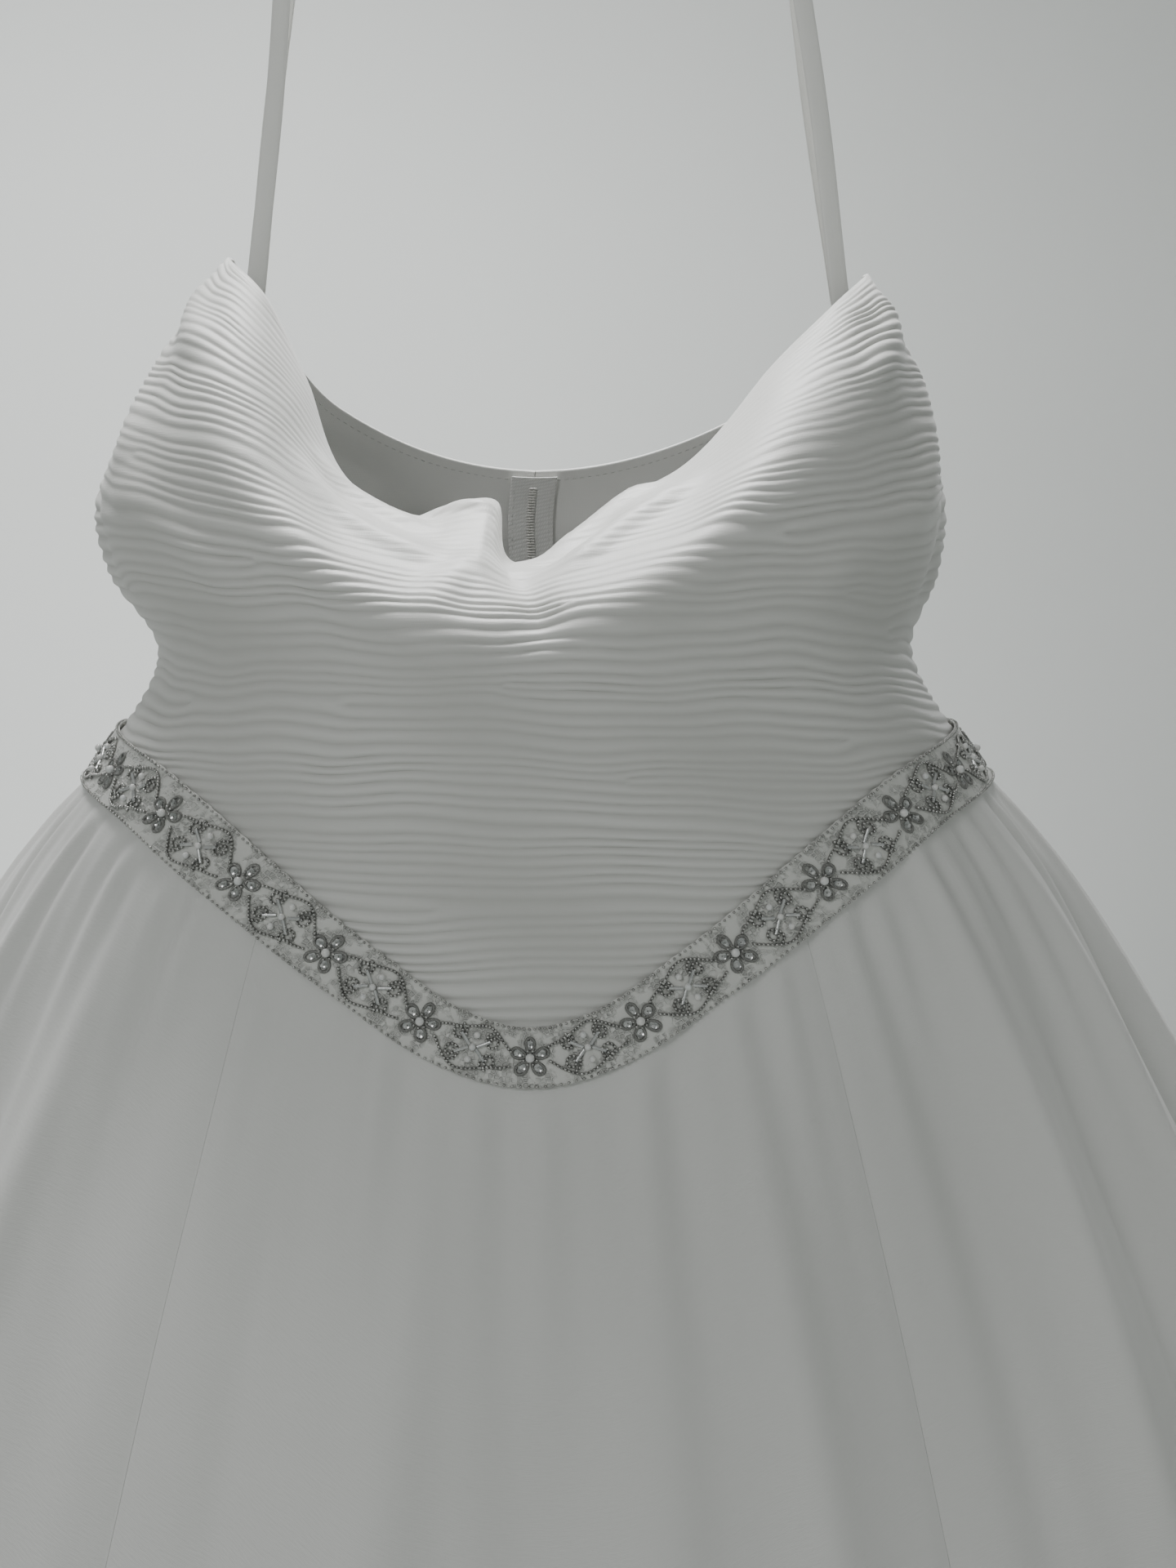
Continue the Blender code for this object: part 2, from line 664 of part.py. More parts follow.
def main():
    """Build the gown and its hanger."""
    clear_scene()
    gown = bpy.data.collections.new("ball_gown")
    cutters = bpy.data.collections.new("cutters")
    bpy.context.scene.collection.children.link(gown)
    bpy.context.scene.collection.children.link(cutters)
    materials = {
        "satin": make_material("satin", (0.80, 0.80, 0.77), 0.42),
        "skirt": make_material("skirt", (0.76, 0.76, 0.74), 0.50),
        "band": make_material("band", (0.62, 0.62, 0.60), 0.35, 0.2),
        "ribbon": make_material("ribbon", (0.84, 0.84, 0.81), 0.35),
        "tape": make_material("tape", (0.80, 0.80, 0.78), 0.75),
        "hanger": make_material("hanger", (0.72, 0.71, 0.68), 0.40),
        "wire": make_material("wire", (0.70, 0.70, 0.70), 0.25, 1.0),
        "metal": make_material("metal", (0.74, 0.74, 0.73), 0.30, 1.0),
    }
    build_bodice(materials, gown)
    build_band(materials, gown)
    build_skirt(materials, gown)
    build_loops(materials, gown)
    build_hanger(materials, gown)
    build_zip(materials, gown)


main()
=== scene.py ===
"""Looks of a strapless ball gown that hangs by two ribbon loops from a plain hanger.

Metres, +Z up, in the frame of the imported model. The gown's front faces -Y, and left and right are the
wearer's, so the left side is at +X. Angles go round the body from 0 at the centre front towards +X.
Every sheet of cloth is a wall drawn on the gown's own surface, with its pleats, folds and creases.
"""
import json
import logging
import math
from dataclasses import dataclass
from enum import Enum
from typing import Sequence

import bmesh
import bpy
import numpy as np
from mathutils import Matrix, Vector


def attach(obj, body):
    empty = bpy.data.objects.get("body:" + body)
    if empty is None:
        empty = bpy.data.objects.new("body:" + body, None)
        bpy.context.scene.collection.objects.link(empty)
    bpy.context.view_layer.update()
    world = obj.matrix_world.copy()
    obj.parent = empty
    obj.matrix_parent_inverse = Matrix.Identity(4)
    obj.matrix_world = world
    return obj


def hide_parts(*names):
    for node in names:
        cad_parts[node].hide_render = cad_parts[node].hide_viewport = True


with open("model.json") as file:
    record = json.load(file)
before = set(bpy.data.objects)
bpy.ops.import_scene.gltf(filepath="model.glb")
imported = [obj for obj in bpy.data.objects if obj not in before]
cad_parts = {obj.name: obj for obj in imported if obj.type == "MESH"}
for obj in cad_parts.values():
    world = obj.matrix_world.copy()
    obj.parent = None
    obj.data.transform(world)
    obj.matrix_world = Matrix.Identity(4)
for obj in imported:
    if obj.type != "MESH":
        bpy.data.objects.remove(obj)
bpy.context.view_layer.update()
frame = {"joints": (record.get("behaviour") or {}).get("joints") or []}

LOG = logging.getLogger("ball_gown")

Rows = Sequence[Sequence[float]]
BODY = "gown"
PULL_BODY = "zip_pull"
SEAM_GAP = 0.00012


class Slot(Enum):
    """Finishes, by their names in the part's record."""

    BODICE = "bodice_satin"
    SKIRT = "skirt_satin"
    BAND = "beaded_band"
    RIBBON = "ribbon"
    TAPE = "zip_tape"
    HANGER = "hanger"
    WIRE = "hook_wire"
    METAL = "zip_metal"


class Hold(Enum):
    """How a sheet of cloth is held."""

    HUNG = "hung"
    GATHERED = "gathered"
    STRETCHED = "stretched"


class Side(Enum):
    """Side of the gown, as its wearer has it, with the sign of its angles."""

    LEFT = 1
    RIGHT = -1


# ---------------------------------------------------------------- curves and surfaces


def through(rows: Rows, places: np.ndarray, column: int = 1) -> np.ndarray:
    """Read a smooth curve through rows.

    Args:
        rows: Rows whose first values rise or fall.
        places: Places along the first column.
        column: Column to read.

    Returns:
        The curve's values, held at its ends.
    """
    table = np.array(sorted(rows), float)
    at, value = table[:, 0], table[:, column]
    slope = np.empty_like(value)
    slope[1:-1] = (value[2:] - value[:-2]) / (at[2:] - at[:-2])
    slope[0] = (value[1] - value[0]) / (at[1] - at[0])
    slope[-1] = (value[-1] - value[-2]) / (at[-1] - at[-2])
    place = np.clip(places, at[0], at[-1])
    index = np.clip(np.searchsorted(at, place, side="right") - 1, 0, len(at) - 2)
    span = at[index + 1] - at[index]
    share = (place - at[index]) / span
    rest = 1 - share
    return (value[index] * rest * rest * (1 + 2 * share)
            + value[index + 1] * share * share * (1 + 2 * rest)
            + span * share * rest * (slope[index] * rest - slope[index + 1] * share))


def smooth_step(places: np.ndarray, start: float, end: float) -> np.ndarray:
    """Rise smoothly from 0 at the start to 1 at the end, which may lie on either side of it."""
    share = np.clip((places - start) / (end - start), 0, 1)
    return share * share * (3 - 2 * share)


def unit(vectors: np.ndarray) -> np.ndarray:
    """Return vectors scaled to length 1."""
    return vectors / np.maximum(np.linalg.norm(vectors, axis=-1, keepdims=True), 1e-12)


def sheet_normals(points: np.ndarray) -> np.ndarray:
    """Return the outward normals of a grid whose columns go round towards +X and whose rows go up."""
    return unit(np.cross(np.gradient(points, axis=0), np.gradient(points, axis=1)))


@dataclass(frozen=True)
class GownForm:
    """The gown's own surface, as it is cut and as it hangs.

    Sections are height, half width, depth in front of the side seams, depth behind them, and sway to
    the wearer's left. Edges and the waist are the sine of the angle and a height.
    """

    sections: Rows = (
        (-0.290, 0.117, 0.098, 0.088, 0.003),
        (-0.340, 0.141, 0.108, 0.094, 0.000),
        (-0.385, 0.160, 0.116, 0.098, -0.006),
        (-0.415, 0.157, 0.121, 0.099, -0.005),
        (-0.445, 0.143, 0.122, 0.094, -0.001),
        (-0.480, 0.163, 0.117, 0.092, 0.000),
        (-0.530, 0.203, 0.111, 0.108, 0.000),
        (-0.590, 0.238, 0.117, 0.134, 0.000),
        (-0.690, 0.285, 0.152, 0.176, 0.000),
        (-0.850, 0.347, 0.213, 0.219, 0.000),
        (-1.050, 0.407, 0.276, 0.254, 0.000),
        (-1.300, 0.468, 0.340, 0.287, 0.000),
        (-1.550, 0.520, 0.392, 0.312, 0.000),
    )
    front_edge: Rows = (
        (-1.00, -0.296), (-0.77, -0.316), (-0.56, -0.348), (-0.36, -0.386), (-0.05, -0.3995),
        (0.34, -0.381), (0.60, -0.342), (0.80, -0.320), (1.00, -0.302),
    )
    back_edge: Rows = ((-1.00, -0.296), (-0.60, -0.343), (0.00, -0.367), (0.60, -0.345), (1.00, -0.302))
    front_waist: Rows = (
        (-0.12, -0.570), (0.00, -0.577), (0.12, -0.570), (0.26, -0.551), (0.50, -0.520),
        (0.75, -0.496), (1.00, -0.4825),
    )
    side_waist: float = -0.4825
    back_waist_dip: float = 0.012
    hem: float = -1.550
    front_lean: float = 0.62
    back_lean: float = 0.03
    front_lean_drop: float = 0.054
    back_lean_drop: float = 0.020
    front_turn: float = math.radians(80)
    back_turn: float = math.radians(45)

    def body(self, angle: np.ndarray, height: np.ndarray,
             depth_share: np.ndarray | float = 1.0) -> np.ndarray:
        """Find points of the gown's surface.

        Args:
            angle: Angles round the body.
            height: Heights.
            depth_share: Share of the full depth, which the slack top edge loses.

        Returns:
            Points, in an array with one more axis.
        """
        half_width = through(self.sections, height, 1)
        depth = np.where(np.cos(angle) >= 0, through(self.sections, height, 2),
                         through(self.sections, height, 3))
        sway = through(self.sections, height, 4)
        return np.stack([sway + half_width * np.sin(angle), -depth * np.cos(angle) * depth_share,
                         height + 0 * angle], axis=-1)

    def waist(self, angle: np.ndarray) -> np.ndarray:
        """Return the height of the waist seam."""
        front = through(self.front_waist, np.abs(np.sin(angle)))
        back = self.side_waist - self.back_waist_dip * np.cos(angle) ** 2
        return np.where(np.cos(angle) < 0, back, front)

    def edge(self, angle: np.ndarray) -> np.ndarray:
        """Return the height of the bodice's top edge."""
        return np.where(np.cos(angle) >= 0, through(self.front_edge, np.sin(angle)),
                        through(self.back_edge, np.sin(angle)))

    def lean_start(self, angle: np.ndarray) -> np.ndarray:
        """Return the height at which the bodice starts to lean back towards its top edge."""
        drop = np.where(np.cos(angle) >= 0, self.front_lean_drop, self.back_lean_drop)
        side_drop = 0.5 * (self.front_lean_drop + self.back_lean_drop)
        weight = np.cos(angle) ** 2
        return self.edge(angle) - drop * weight - side_drop * (1 - weight)

    def leaning(self, angle: np.ndarray, share: np.ndarray) -> np.ndarray:
        """Find points of the leaning stretch.

        Args:
            angle: Angles round the body.
            share: Share of the way from the start of the lean to the top edge.

        Returns:
            Points, in an array with one more axis.
        """
        front = np.cos(angle) >= 0
        full_turn = np.where(front, self.front_turn, self.back_turn)
        turn = share * full_turn
        start = self.lean_start(angle)
        height = start + (self.edge(angle) - start) * np.sin(turn) / np.sin(full_turn)
        inward = (1 - np.cos(turn)) / (1 - np.cos(full_turn))
        return self.body(angle, height, 1 - np.where(front, self.front_lean, self.back_lean) * inward)

    def outward(self, angle: np.ndarray, height: np.ndarray) -> np.ndarray:
        """Return the outward normals of the surface below the lean."""
        step = 0.0005
        along = self.body(angle + step, height) - self.body(angle - step, height)
        up = self.body(angle, height + step) - self.body(angle, height - step)
        return unit(np.cross(along, up))


@dataclass(frozen=True)
class Crease:
    """Soft ridge, or a trough where its depth is negative, between two places on a sheet.

    A place is an angle in degrees and a distance in metres down the cloth from its top. A lip below 1
    narrows the crease on its lower side, so that the cloth there falls like the edge of a fold.
    """

    start: tuple[float, float]
    end: tuple[float, float]
    width: float
    depth: float
    bow: float = 0.0
    lip: float = 1.0

    def height(self, across: np.ndarray, down: np.ndarray, radius: float) -> np.ndarray:
        """Work out how far the cloth stands out.

        Args:
            across: Angles in degrees.
            down: Distances down the cloth.
            radius: Radius that turns an angle into a distance.

        Returns:
            Distances outward, the depth along the crease's middle and 0 away from it.
        """
        scale = math.radians(1) * radius
        run = (self.end[0] - self.start[0]) * scale, self.end[1] - self.start[1]
        length = math.hypot(*run)
        x, y = (across - self.start[0]) * scale, down - self.start[1]
        share = (x * run[0] + y * run[1]) / length ** 2
        held = np.clip(share, 0, 1)
        offset = (x * run[1] - y * run[0]) / length - 4 * self.bow * held * (1 - held)
        fade = smooth_step(share, -0.05, 0.25) * smooth_step(share, 1.05, 0.75)
        below = offset < 0 if run[0] > 0 else offset > 0
        return self.depth * np.exp(-(offset / np.where(below, self.lip * self.width, self.width)) ** 2) * fade


def crease_heights(creases: Sequence[Crease], across: np.ndarray, down: np.ndarray,
                   radius: float) -> np.ndarray:
    """Add up the heights of several creases.

    Args:
        creases: The creases.
        across: Angles in degrees.
        down: Distances down the cloth.
        radius: Radius that turns an angle into a distance.

    Returns:
        Distances outward.
    """
    total = np.zeros(np.broadcast(across, down).shape)
    for crease in creases:
        total = total + crease.height(across, down, radius)
    return total


# ---------------------------------------------------------------- meshes


class MeshDraft:
    """Points, faces and marks of a piece while it is drawn up."""

    def __init__(self) -> None:
        """Start an empty draft."""
        self.points: list[np.ndarray] = []
        self.charts: list[np.ndarray] = []
        self.folds: list[np.ndarray] = []
        self.faces: list[list[int]] = []
        self.sides: list[int] = []
        self.count = 0

    def add_points(self, points: np.ndarray, chart: np.ndarray | None = None,
                   fold: np.ndarray | float = 1.0) -> np.ndarray:
        """Add points.

        Args:
            points: Points, in an array of any shape.
            chart: Place of each point on the flat cloth, in metres.
            fold: 0 in the bottom of a pleat and 1 on its crest; the satin paints shade into its colour where
                this is low.

        Returns:
            The points' numbers, in the array's shape.
        """
        shape = points.shape[:-1]
        size = int(np.prod(shape))
        self.points.append(points.reshape(-1, 3))
        self.charts.append(np.zeros((size, 2)) if chart is None else chart.reshape(-1, 2))
        self.folds.append(np.broadcast_to(fold, shape).reshape(-1).astype(float))
        numbers = np.arange(self.count, self.count + size).reshape(shape)
        self.count += size
        return numbers

    def add_faces(self, faces: np.ndarray, side: int = 0) -> None:
        """Add faces given by their points' numbers, with the number of their material."""
        self.faces += faces.tolist()
        self.sides += [side] * len(faces)

    def add_grid(self, numbers: np.ndarray, side: int = 0, inside_out: bool = False) -> None:
        """Add the faces of a grid, in which neighbours in a column may be one point.

        Args:
            numbers: The points' numbers, by column and row.
            side: Number of the faces' material.
            inside_out: Whether the faces look inwards.
        """
        corners = [numbers[:-1, :-1], numbers[1:, :-1], numbers[1:, 1:], numbers[:-1, 1:]]
        quads = np.stack([corner.reshape(-1) for corner in corners], axis=1)
        left_shut, right_shut = quads[:, 0] == quads[:, 3], quads[:, 1] == quads[:, 2]
        groups = (quads[~left_shut & ~right_shut], quads[left_shut & ~right_shut][:, [0, 1, 2]],
                  quads[~left_shut & right_shut][:, [0, 1, 3]])
        for faces in groups:
            self.add_faces(faces[:, ::-1] if inside_out else faces, side)

    def add_border(self, first: Sequence[int], second: Sequence[int], first_at: np.ndarray,
                   second_at: np.ndarray) -> None:
        """Close the border between two lines of points that run side by side.

        Args:
            first: Numbers of one line's points.
            second: Numbers of the other's.
            first_at: How far along each point of the first line is.
            second_at: The same for the second line.
        """
        i = j = 0
        faces = []
        while i < len(first) - 1 or j < len(second) - 1:
            step_first = j == len(second) - 1 or (i < len(first) - 1 and first_at[i + 1] <= second_at[j + 1])
            following = first[i + 1] if step_first else second[j + 1]
            faces.append([int(first[i]), int(second[j]), int(following)])
            i, j = (i + 1, j) if step_first else (i, j + 1)
        self.faces += faces
        self.sides += [0] * len(faces)

    def add_wall(self, outer: np.ndarray, inner: np.ndarray, chart: np.ndarray | None = None,
                 fold: np.ndarray | float = 1.0) -> None:
        """Add a closed wall between two grids of the same size.

        Args:
            outer: Points of the outer face, by column and row.
            inner: Points of the inner face.
            chart: Place of each point on the flat cloth, in metres.
            fold: 0 in the bottom of a pleat and 1 on its crest; the satin paints shade into its colour where
                this is low.
        """
        face, back = self.add_points(outer, chart, fold), self.add_points(inner, chart)
        self.add_grid(face)
        self.add_grid(back, side=1, inside_out=True)
        for low, high in ((face[:, 0], back[:, 0]), (back[:, -1], face[:, -1]),
                          (back[0], face[0]), (face[-1], back[-1])):
            quads = np.stack([low[:-1], high[:-1], high[1:], low[1:]], axis=1)
            self.add_faces(quads)

    def add_tube(self, path: np.ndarray, normals: np.ndarray, radius: np.ndarray | float, sides: int,
                 closed: bool = False, flatten: float = 1.0) -> None:
        """Add a tube along a path.

        Args:
            path: Points of the path.
            normals: A direction across the path at each point.
            radius: The tube's radius, at each point or all along.
            sides: Number of sides.
            closed: Whether the path runs round to its start.
            flatten: Share of the radius that is kept along the normals.
        """
        if closed:
            ahead = np.roll(path, -1, axis=0) - np.roll(path, 1, axis=0)
        else:
            ahead = np.gradient(path, axis=0)
        side = unit(np.cross(ahead, normals))
        rise = unit(np.cross(side, ahead))
        turns = np.linspace(0, 2 * math.pi, sides, endpoint=False)
        reach = np.broadcast_to(radius, len(path))[:, None, None]
        ring = (np.cos(turns)[None, :, None] * side[:, None] +
                flatten * np.sin(turns)[None, :, None] * rise[:, None])
        numbers = self.add_points(path[:, None] + ring * reach)
        around = np.concatenate([numbers, numbers[:, :1]], axis=1)
        if closed:
            around = np.concatenate([around, around[:1]], axis=0)
        else:
            self.faces += [numbers[0].tolist(), numbers[-1][::-1].tolist()]
            self.sides += [0, 0]
        self.add_grid(around, inside_out=True)

    def add_copies(self, shape: "Shape", places: np.ndarray, frames: np.ndarray, sizes: np.ndarray) -> None:
        """Add copies of a small shape.

        Args:
            shape: The shape to copy.
            places: Where each copy's middle is.
            frames: Each copy's own X, Y and Z directions, as rows.
            sizes: Each copy's size along them.
        """
        scaled = shape.points[None] * sizes[:, None, :]
        numbers = self.add_points(places[:, None] + np.einsum("nmk,nkj->nmj", scaled, frames))
        for faces in shape.faces:
            self.add_faces(numbers[:, faces].reshape(-1, faces.shape[1]))

    def finish(self, name: str, materials: Sequence[bpy.types.Material],
               crisp: float = 55) -> bpy.types.Object:
        """Make the piece.

        Args:
            name: The piece's name.
            materials: Its materials, the inner face's last.
            crisp: Angle in degrees past which an edge looks sharp.

        Returns:
            The piece, in the scene.
        """
        points, charts, folds = (np.concatenate(part) for part in (self.points, self.charts, self.folds))
        used = np.zeros(len(points), bool)
        used[np.concatenate([np.asarray(face) for face in self.faces])] = True
        renumber = np.cumsum(used) - 1
        mesh = bpy.data.meshes.new(name)
        mesh.from_pydata(points[used].tolist(), [], [renumber[face].tolist() for face in self.faces])
        corner = np.empty(len(mesh.loops), np.int32)
        mesh.loops.foreach_get("vertex_index", corner)
        mesh.uv_layers.new(name="cloth").data.foreach_set("uv", charts[used][corner].reshape(-1))
        # The fold mark goes to the mesh as an attribute, from which the satin paints shade in the pleats.
        mesh.attributes.new("fold", "FLOAT", "POINT").data.foreach_set("value", folds[used])
        for material in materials:
            mesh.materials.append(material)
        if len(materials) > 1:
            mesh.polygons.foreach_set("material_index", self.sides)
        mesh.shade_smooth()
        mesh.set_sharp_from_angle(angle=math.radians(crisp))
        piece = bpy.data.objects.new(name, mesh)
        bpy.context.scene.collection.objects.link(piece)
        return piece


@dataclass(frozen=True)
class Shape:
    """Small shape of which many copies are made: its points and its faces, by number of corners."""

    points: np.ndarray
    faces: tuple[np.ndarray, ...]

    @staticmethod
    def ball(fineness: int) -> "Shape":
        """Make a ball of radius 1 from an icosphere of some fineness."""
        work = bmesh.new()
        bmesh.ops.create_icosphere(work, subdivisions=fineness, radius=1)
        return Shape.taken(work)

    @staticmethod
    def bead() -> "Shape":
        """Make a small round bead of radius 1, of few faces, since thousands are sewn on."""
        sides = 8
        turns = np.linspace(0, 2 * math.pi, sides, endpoint=False)
        levels = np.radians([45, 0, -45])
        rings = [(math.cos(level) * math.cos(turn), math.cos(level) * math.sin(turn), math.sin(level))
                 for level in levels for turn in turns]
        points = np.array([(0.0, 0.0, 1.0), *rings, (0.0, 0.0, -1.0)])
        numbers = 1 + np.arange(len(rings)).reshape(len(levels), sides)
        after = np.roll(numbers, -1, axis=1)
        quads = np.stack([numbers[:-1], numbers[1:], after[1:], after[:-1]], axis=-1).reshape(-1, 4)
        top = np.stack([0 * after[0], numbers[0], after[0]], axis=-1)
        foot = np.stack([0 * after[0] + len(points) - 1, after[-1], numbers[-1]], axis=-1)
        return Shape(points, (quads, np.concatenate([top, foot])))

    @staticmethod
    def bugle() -> "Shape":
        """Make a glass tube along X, of length 2 and radius 1, with a hole in each end."""
        work = bmesh.new()
        bmesh.ops.create_cone(work, cap_ends=True, segments=8, radius1=1, radius2=1, depth=2,
                              matrix=Matrix.Rotation(math.pi / 2, 4, "Y"))
        caps = [face for face in work.faces if len(face.verts) > 4]
        bmesh.ops.inset_individual(work, faces=caps, thickness=0.45, depth=-0.1)
        return Shape.taken(work)

    @staticmethod
    def sequin() -> "Shape":
        """Make a cupped disc of radius 1 with a hole, its hollow facing +Z."""
        turns = np.linspace(0, 2 * math.pi, 12, endpoint=False)
        rings = [(0.2, 0.0), (0.55, 0.02), (1.0, 0.26), (1.0, 0.20), (0.55, -0.05), (0.2, -0.07)]
        points = np.array([[(r * math.cos(t), r * math.sin(t), z) for r, z in rings] for t in turns])
        numbers = np.arange(len(turns) * len(rings)).reshape(len(turns), len(rings))
        after, along = np.roll(numbers, -1, axis=0), np.roll(numbers, -1, axis=1)
        both = np.roll(after, -1, axis=1)
        quads = np.stack([numbers, along, both, after], axis=-1).reshape(-1, 4)
        return Shape(points.reshape(-1, 3), (quads,))

    @staticmethod
    def taken(work: bmesh.types.BMesh) -> "Shape":
        """Take the points and faces of a bmesh, and free it."""
        points = np.array([vertex.co[:] for vertex in work.verts])
        groups: dict[int, list[list[int]]] = {}
        for face in work.faces:
            groups.setdefault(len(face.verts), []).append([vertex.index for vertex in face.verts])
        work.free()
        return Shape(points, tuple(np.array(group) for group in groups.values()))


# ---------------------------------------------------------------- finishes


class Nodes:
    """Short way to lay out a material's nodes."""

    def __init__(self, name: str) -> None:
        """Start a material with a Principled shader."""
        self.material = bpy.data.materials.new(name)
        self.material.use_nodes = True
        self.tree = self.material.node_tree
        self.shader = self.tree.nodes["Principled BSDF"]

    def add(self, kind: str, inputs: dict[str | int, object] | None = None,
            **settings: object) -> bpy.types.Node:
        """Add a node.

        Args:
            kind: The node's type, without its ShaderNode prefix.
            inputs: Values or sockets for its inputs, by name or number.
            settings: Its own settings.

        Returns:
            The node.
        """
        node = self.tree.nodes.new("ShaderNode" + kind)
        for name, value in settings.items():
            setattr(node, name, value)
        for name, value in (inputs or {}).items():
            self.put(node.inputs[name], value)
        return node

    def put(self, socket: bpy.types.NodeSocket, value: object) -> None:
        """Link a socket to an input, or set the input's value."""
        if isinstance(value, bpy.types.NodeSocket):
            self.tree.links.new(value, socket)
        else:
            socket.default_value = value

    def cloth_place(self, scale: tuple[float, float]) -> bpy.types.NodeSocket:
        """Return the place on the flat cloth in metres, times a scale each way."""
        place = self.add("UVMap", uv_map="cloth")
        return self.add("Mapping", {"Vector": place.outputs["UV"], "Scale": (*scale, 1.0)}).outputs["Vector"]

    def object_place(self) -> bpy.types.NodeSocket:
        """Return the place in the object's own frame, in metres."""
        return self.add("TexCoord").outputs["Object"]

    def noise(self, place: bpy.types.NodeSocket, scale: float, detail: float = 3.0) -> bpy.types.NodeSocket:
        """Return a noise of a scale in cycles a unit."""
        made = self.add("TexNoise", {"Vector": place, "Scale": scale, "Detail": detail})
        return made.outputs["Fac"]

    def ribs(self, place: bpy.types.NodeSocket, pitch: float, direction: str = "X",
             distortion: float = 0.0) -> bpy.types.NodeSocket:
        """Return straight ribs of a pitch in metres, on an unscaled place."""
        wave_at_unit_scale = 2 * math.pi / 20
        made = self.add("TexWave", {"Vector": place, "Scale": wave_at_unit_scale / pitch,
                                    "Distortion": distortion,
                                    "Detail": 0.0}, bands_direction=direction)
        return made.outputs["Fac"]

    def spread(self, value: bpy.types.NodeSocket, low: float, high: float, start: float = 0.0,
               end: float = 1.0) -> bpy.types.NodeSocket:
        """Map a value's range, 0 to 1 unless start and end say otherwise, to low and high."""
        return self.add("MapRange", {"Value": value, "From Min": start, "From Max": end, "To Min": low,
                                     "To Max": high}).outputs["Result"]

    def blend(self, share: bpy.types.NodeSocket, first: object, second: object) -> bpy.types.NodeSocket:
        """Mix two colours."""
        mix = self.add("Mix", {"Factor": share}, data_type="RGBA")
        for index, colour in ((6, first), (7, second)):
            self.put(mix.inputs[index], (*colour, 1.0) if isinstance(colour, tuple) else colour)
        return mix.outputs[2]

    def calculate(self, operation: str, first: object, second: object = 0.0) -> bpy.types.NodeSocket:
        """Join two values by a mathematical operation."""
        node = self.add("Math", operation=operation)
        self.put(node.inputs[0], first)
        self.put(node.inputs[1], second)
        return node.outputs["Value"]

    def relief(self, height: bpy.types.NodeSocket, depth: float, below: bpy.types.NodeSocket | None = None,
               strength: float = 1.0) -> bpy.types.NodeSocket:
        """Turn a height from 0 to 1 into bumps of a depth in metres, over those below."""
        bump = self.add("Bump", {"Height": height, "Distance": depth, "Strength": strength})
        if below is not None:
            self.put(bump.inputs["Normal"], below)
        return bump.outputs["Normal"]

    def dress(self, **inputs: object) -> bpy.types.Material:
        """Set the shader's inputs, named with underscores for spaces, and return the material."""
        for name, value in inputs.items():
            wanted = name.replace("_", " ").lower()
            socket = next(item for item in self.shader.inputs if item.name.lower() == wanted)
            self.put(socket, (*value, 1.0) if isinstance(value, tuple) and len(value) == 3 else value)
        return self.material


@dataclass(frozen=True)
class Satin:
    """Satin with a soft lustre: fine threads, faint slubs, and painted shade in the bottom of its pleats."""

    name: str
    colour: tuple[float, float, float]
    # Second colour: painted shade where the fold mark is low, in the pleats' bottoms, and a slub tint
    # elsewhere.
    slub_tint_and_painted_shade: tuple[float, float, float]
    roughness: tuple[float, float] = (0.38, 0.52)
    sheen: float = 0.20
    thread: float = 0.00042
    slub_depth: float = 0.00010
    crumple_depth: float = 0.0009
    crumple_scale: float = 26.0

    def make(self) -> bpy.types.Material:
        """Make the material."""
        nodes = Nodes(self.name)
        flat = nodes.cloth_place((1.0, 1.0))
        slubs = nodes.noise(nodes.cloth_place((150.0, 1300.0)), 1.0, 4.0)
        crumples = nodes.noise(nodes.object_place(), self.crumple_scale, 2.0)
        threads = nodes.calculate("MULTIPLY", nodes.ribs(flat, self.thread, "X"),
                                  nodes.ribs(flat, self.thread, "Y"))
        # Painted shade: the fold mark pulls the colour towards the shade colour in the bottoms of the pleats.
        fold = nodes.add("Attribute", attribute_name="fold").outputs["Fac"]
        tone = nodes.calculate("MULTIPLY", fold, nodes.spread(slubs, 0.86, 1.12))
        colour = nodes.blend(tone, self.slub_tint_and_painted_shade, self.colour)
        normal = nodes.relief(crumples, self.crumple_depth)
        normal = nodes.relief(slubs, self.slub_depth, normal)
        normal = nodes.relief(threads, 0.00002, normal)
        patches = nodes.noise(nodes.object_place(), 9.0, 2.0)
        rough = nodes.spread(nodes.calculate("MULTIPLY", patches, nodes.spread(slubs, 0.8, 1.2)),
                             self.roughness[0], self.roughness[1], 0.25, 0.75)
        return nodes.dress(base_color=colour, roughness=rough, normal=normal, sheen_weight=self.sheen,
                           sheen_roughness=0.4, specular_ior_level=0.45)


@dataclass(frozen=True)
class Lining:
    """Matt lining of the bodice and skirt, in a plain weave."""

    name: str = "lining"
    colour: tuple[float, float, float] = (0.80, 0.80, 0.775)

    def make(self) -> bpy.types.Material:
        """Make the material."""
        nodes = Nodes(self.name)
        flat = nodes.cloth_place((1.0, 1.0))
        weave = nodes.calculate("MULTIPLY", nodes.ribs(flat, 0.0006, "X"), nodes.ribs(flat, 0.0006, "Y"))
        cloudy = nodes.noise(nodes.object_place(), 18.0)
        darker = tuple(0.94 * part for part in self.colour)
        normal = nodes.relief(weave, 0.00004, nodes.relief(cloudy, 0.0008))
        return nodes.dress(base_color=nodes.blend(cloudy, darker, self.colour),
                           roughness=nodes.spread(weave, 0.62, 0.74), normal=normal, sheen_weight=0.15)


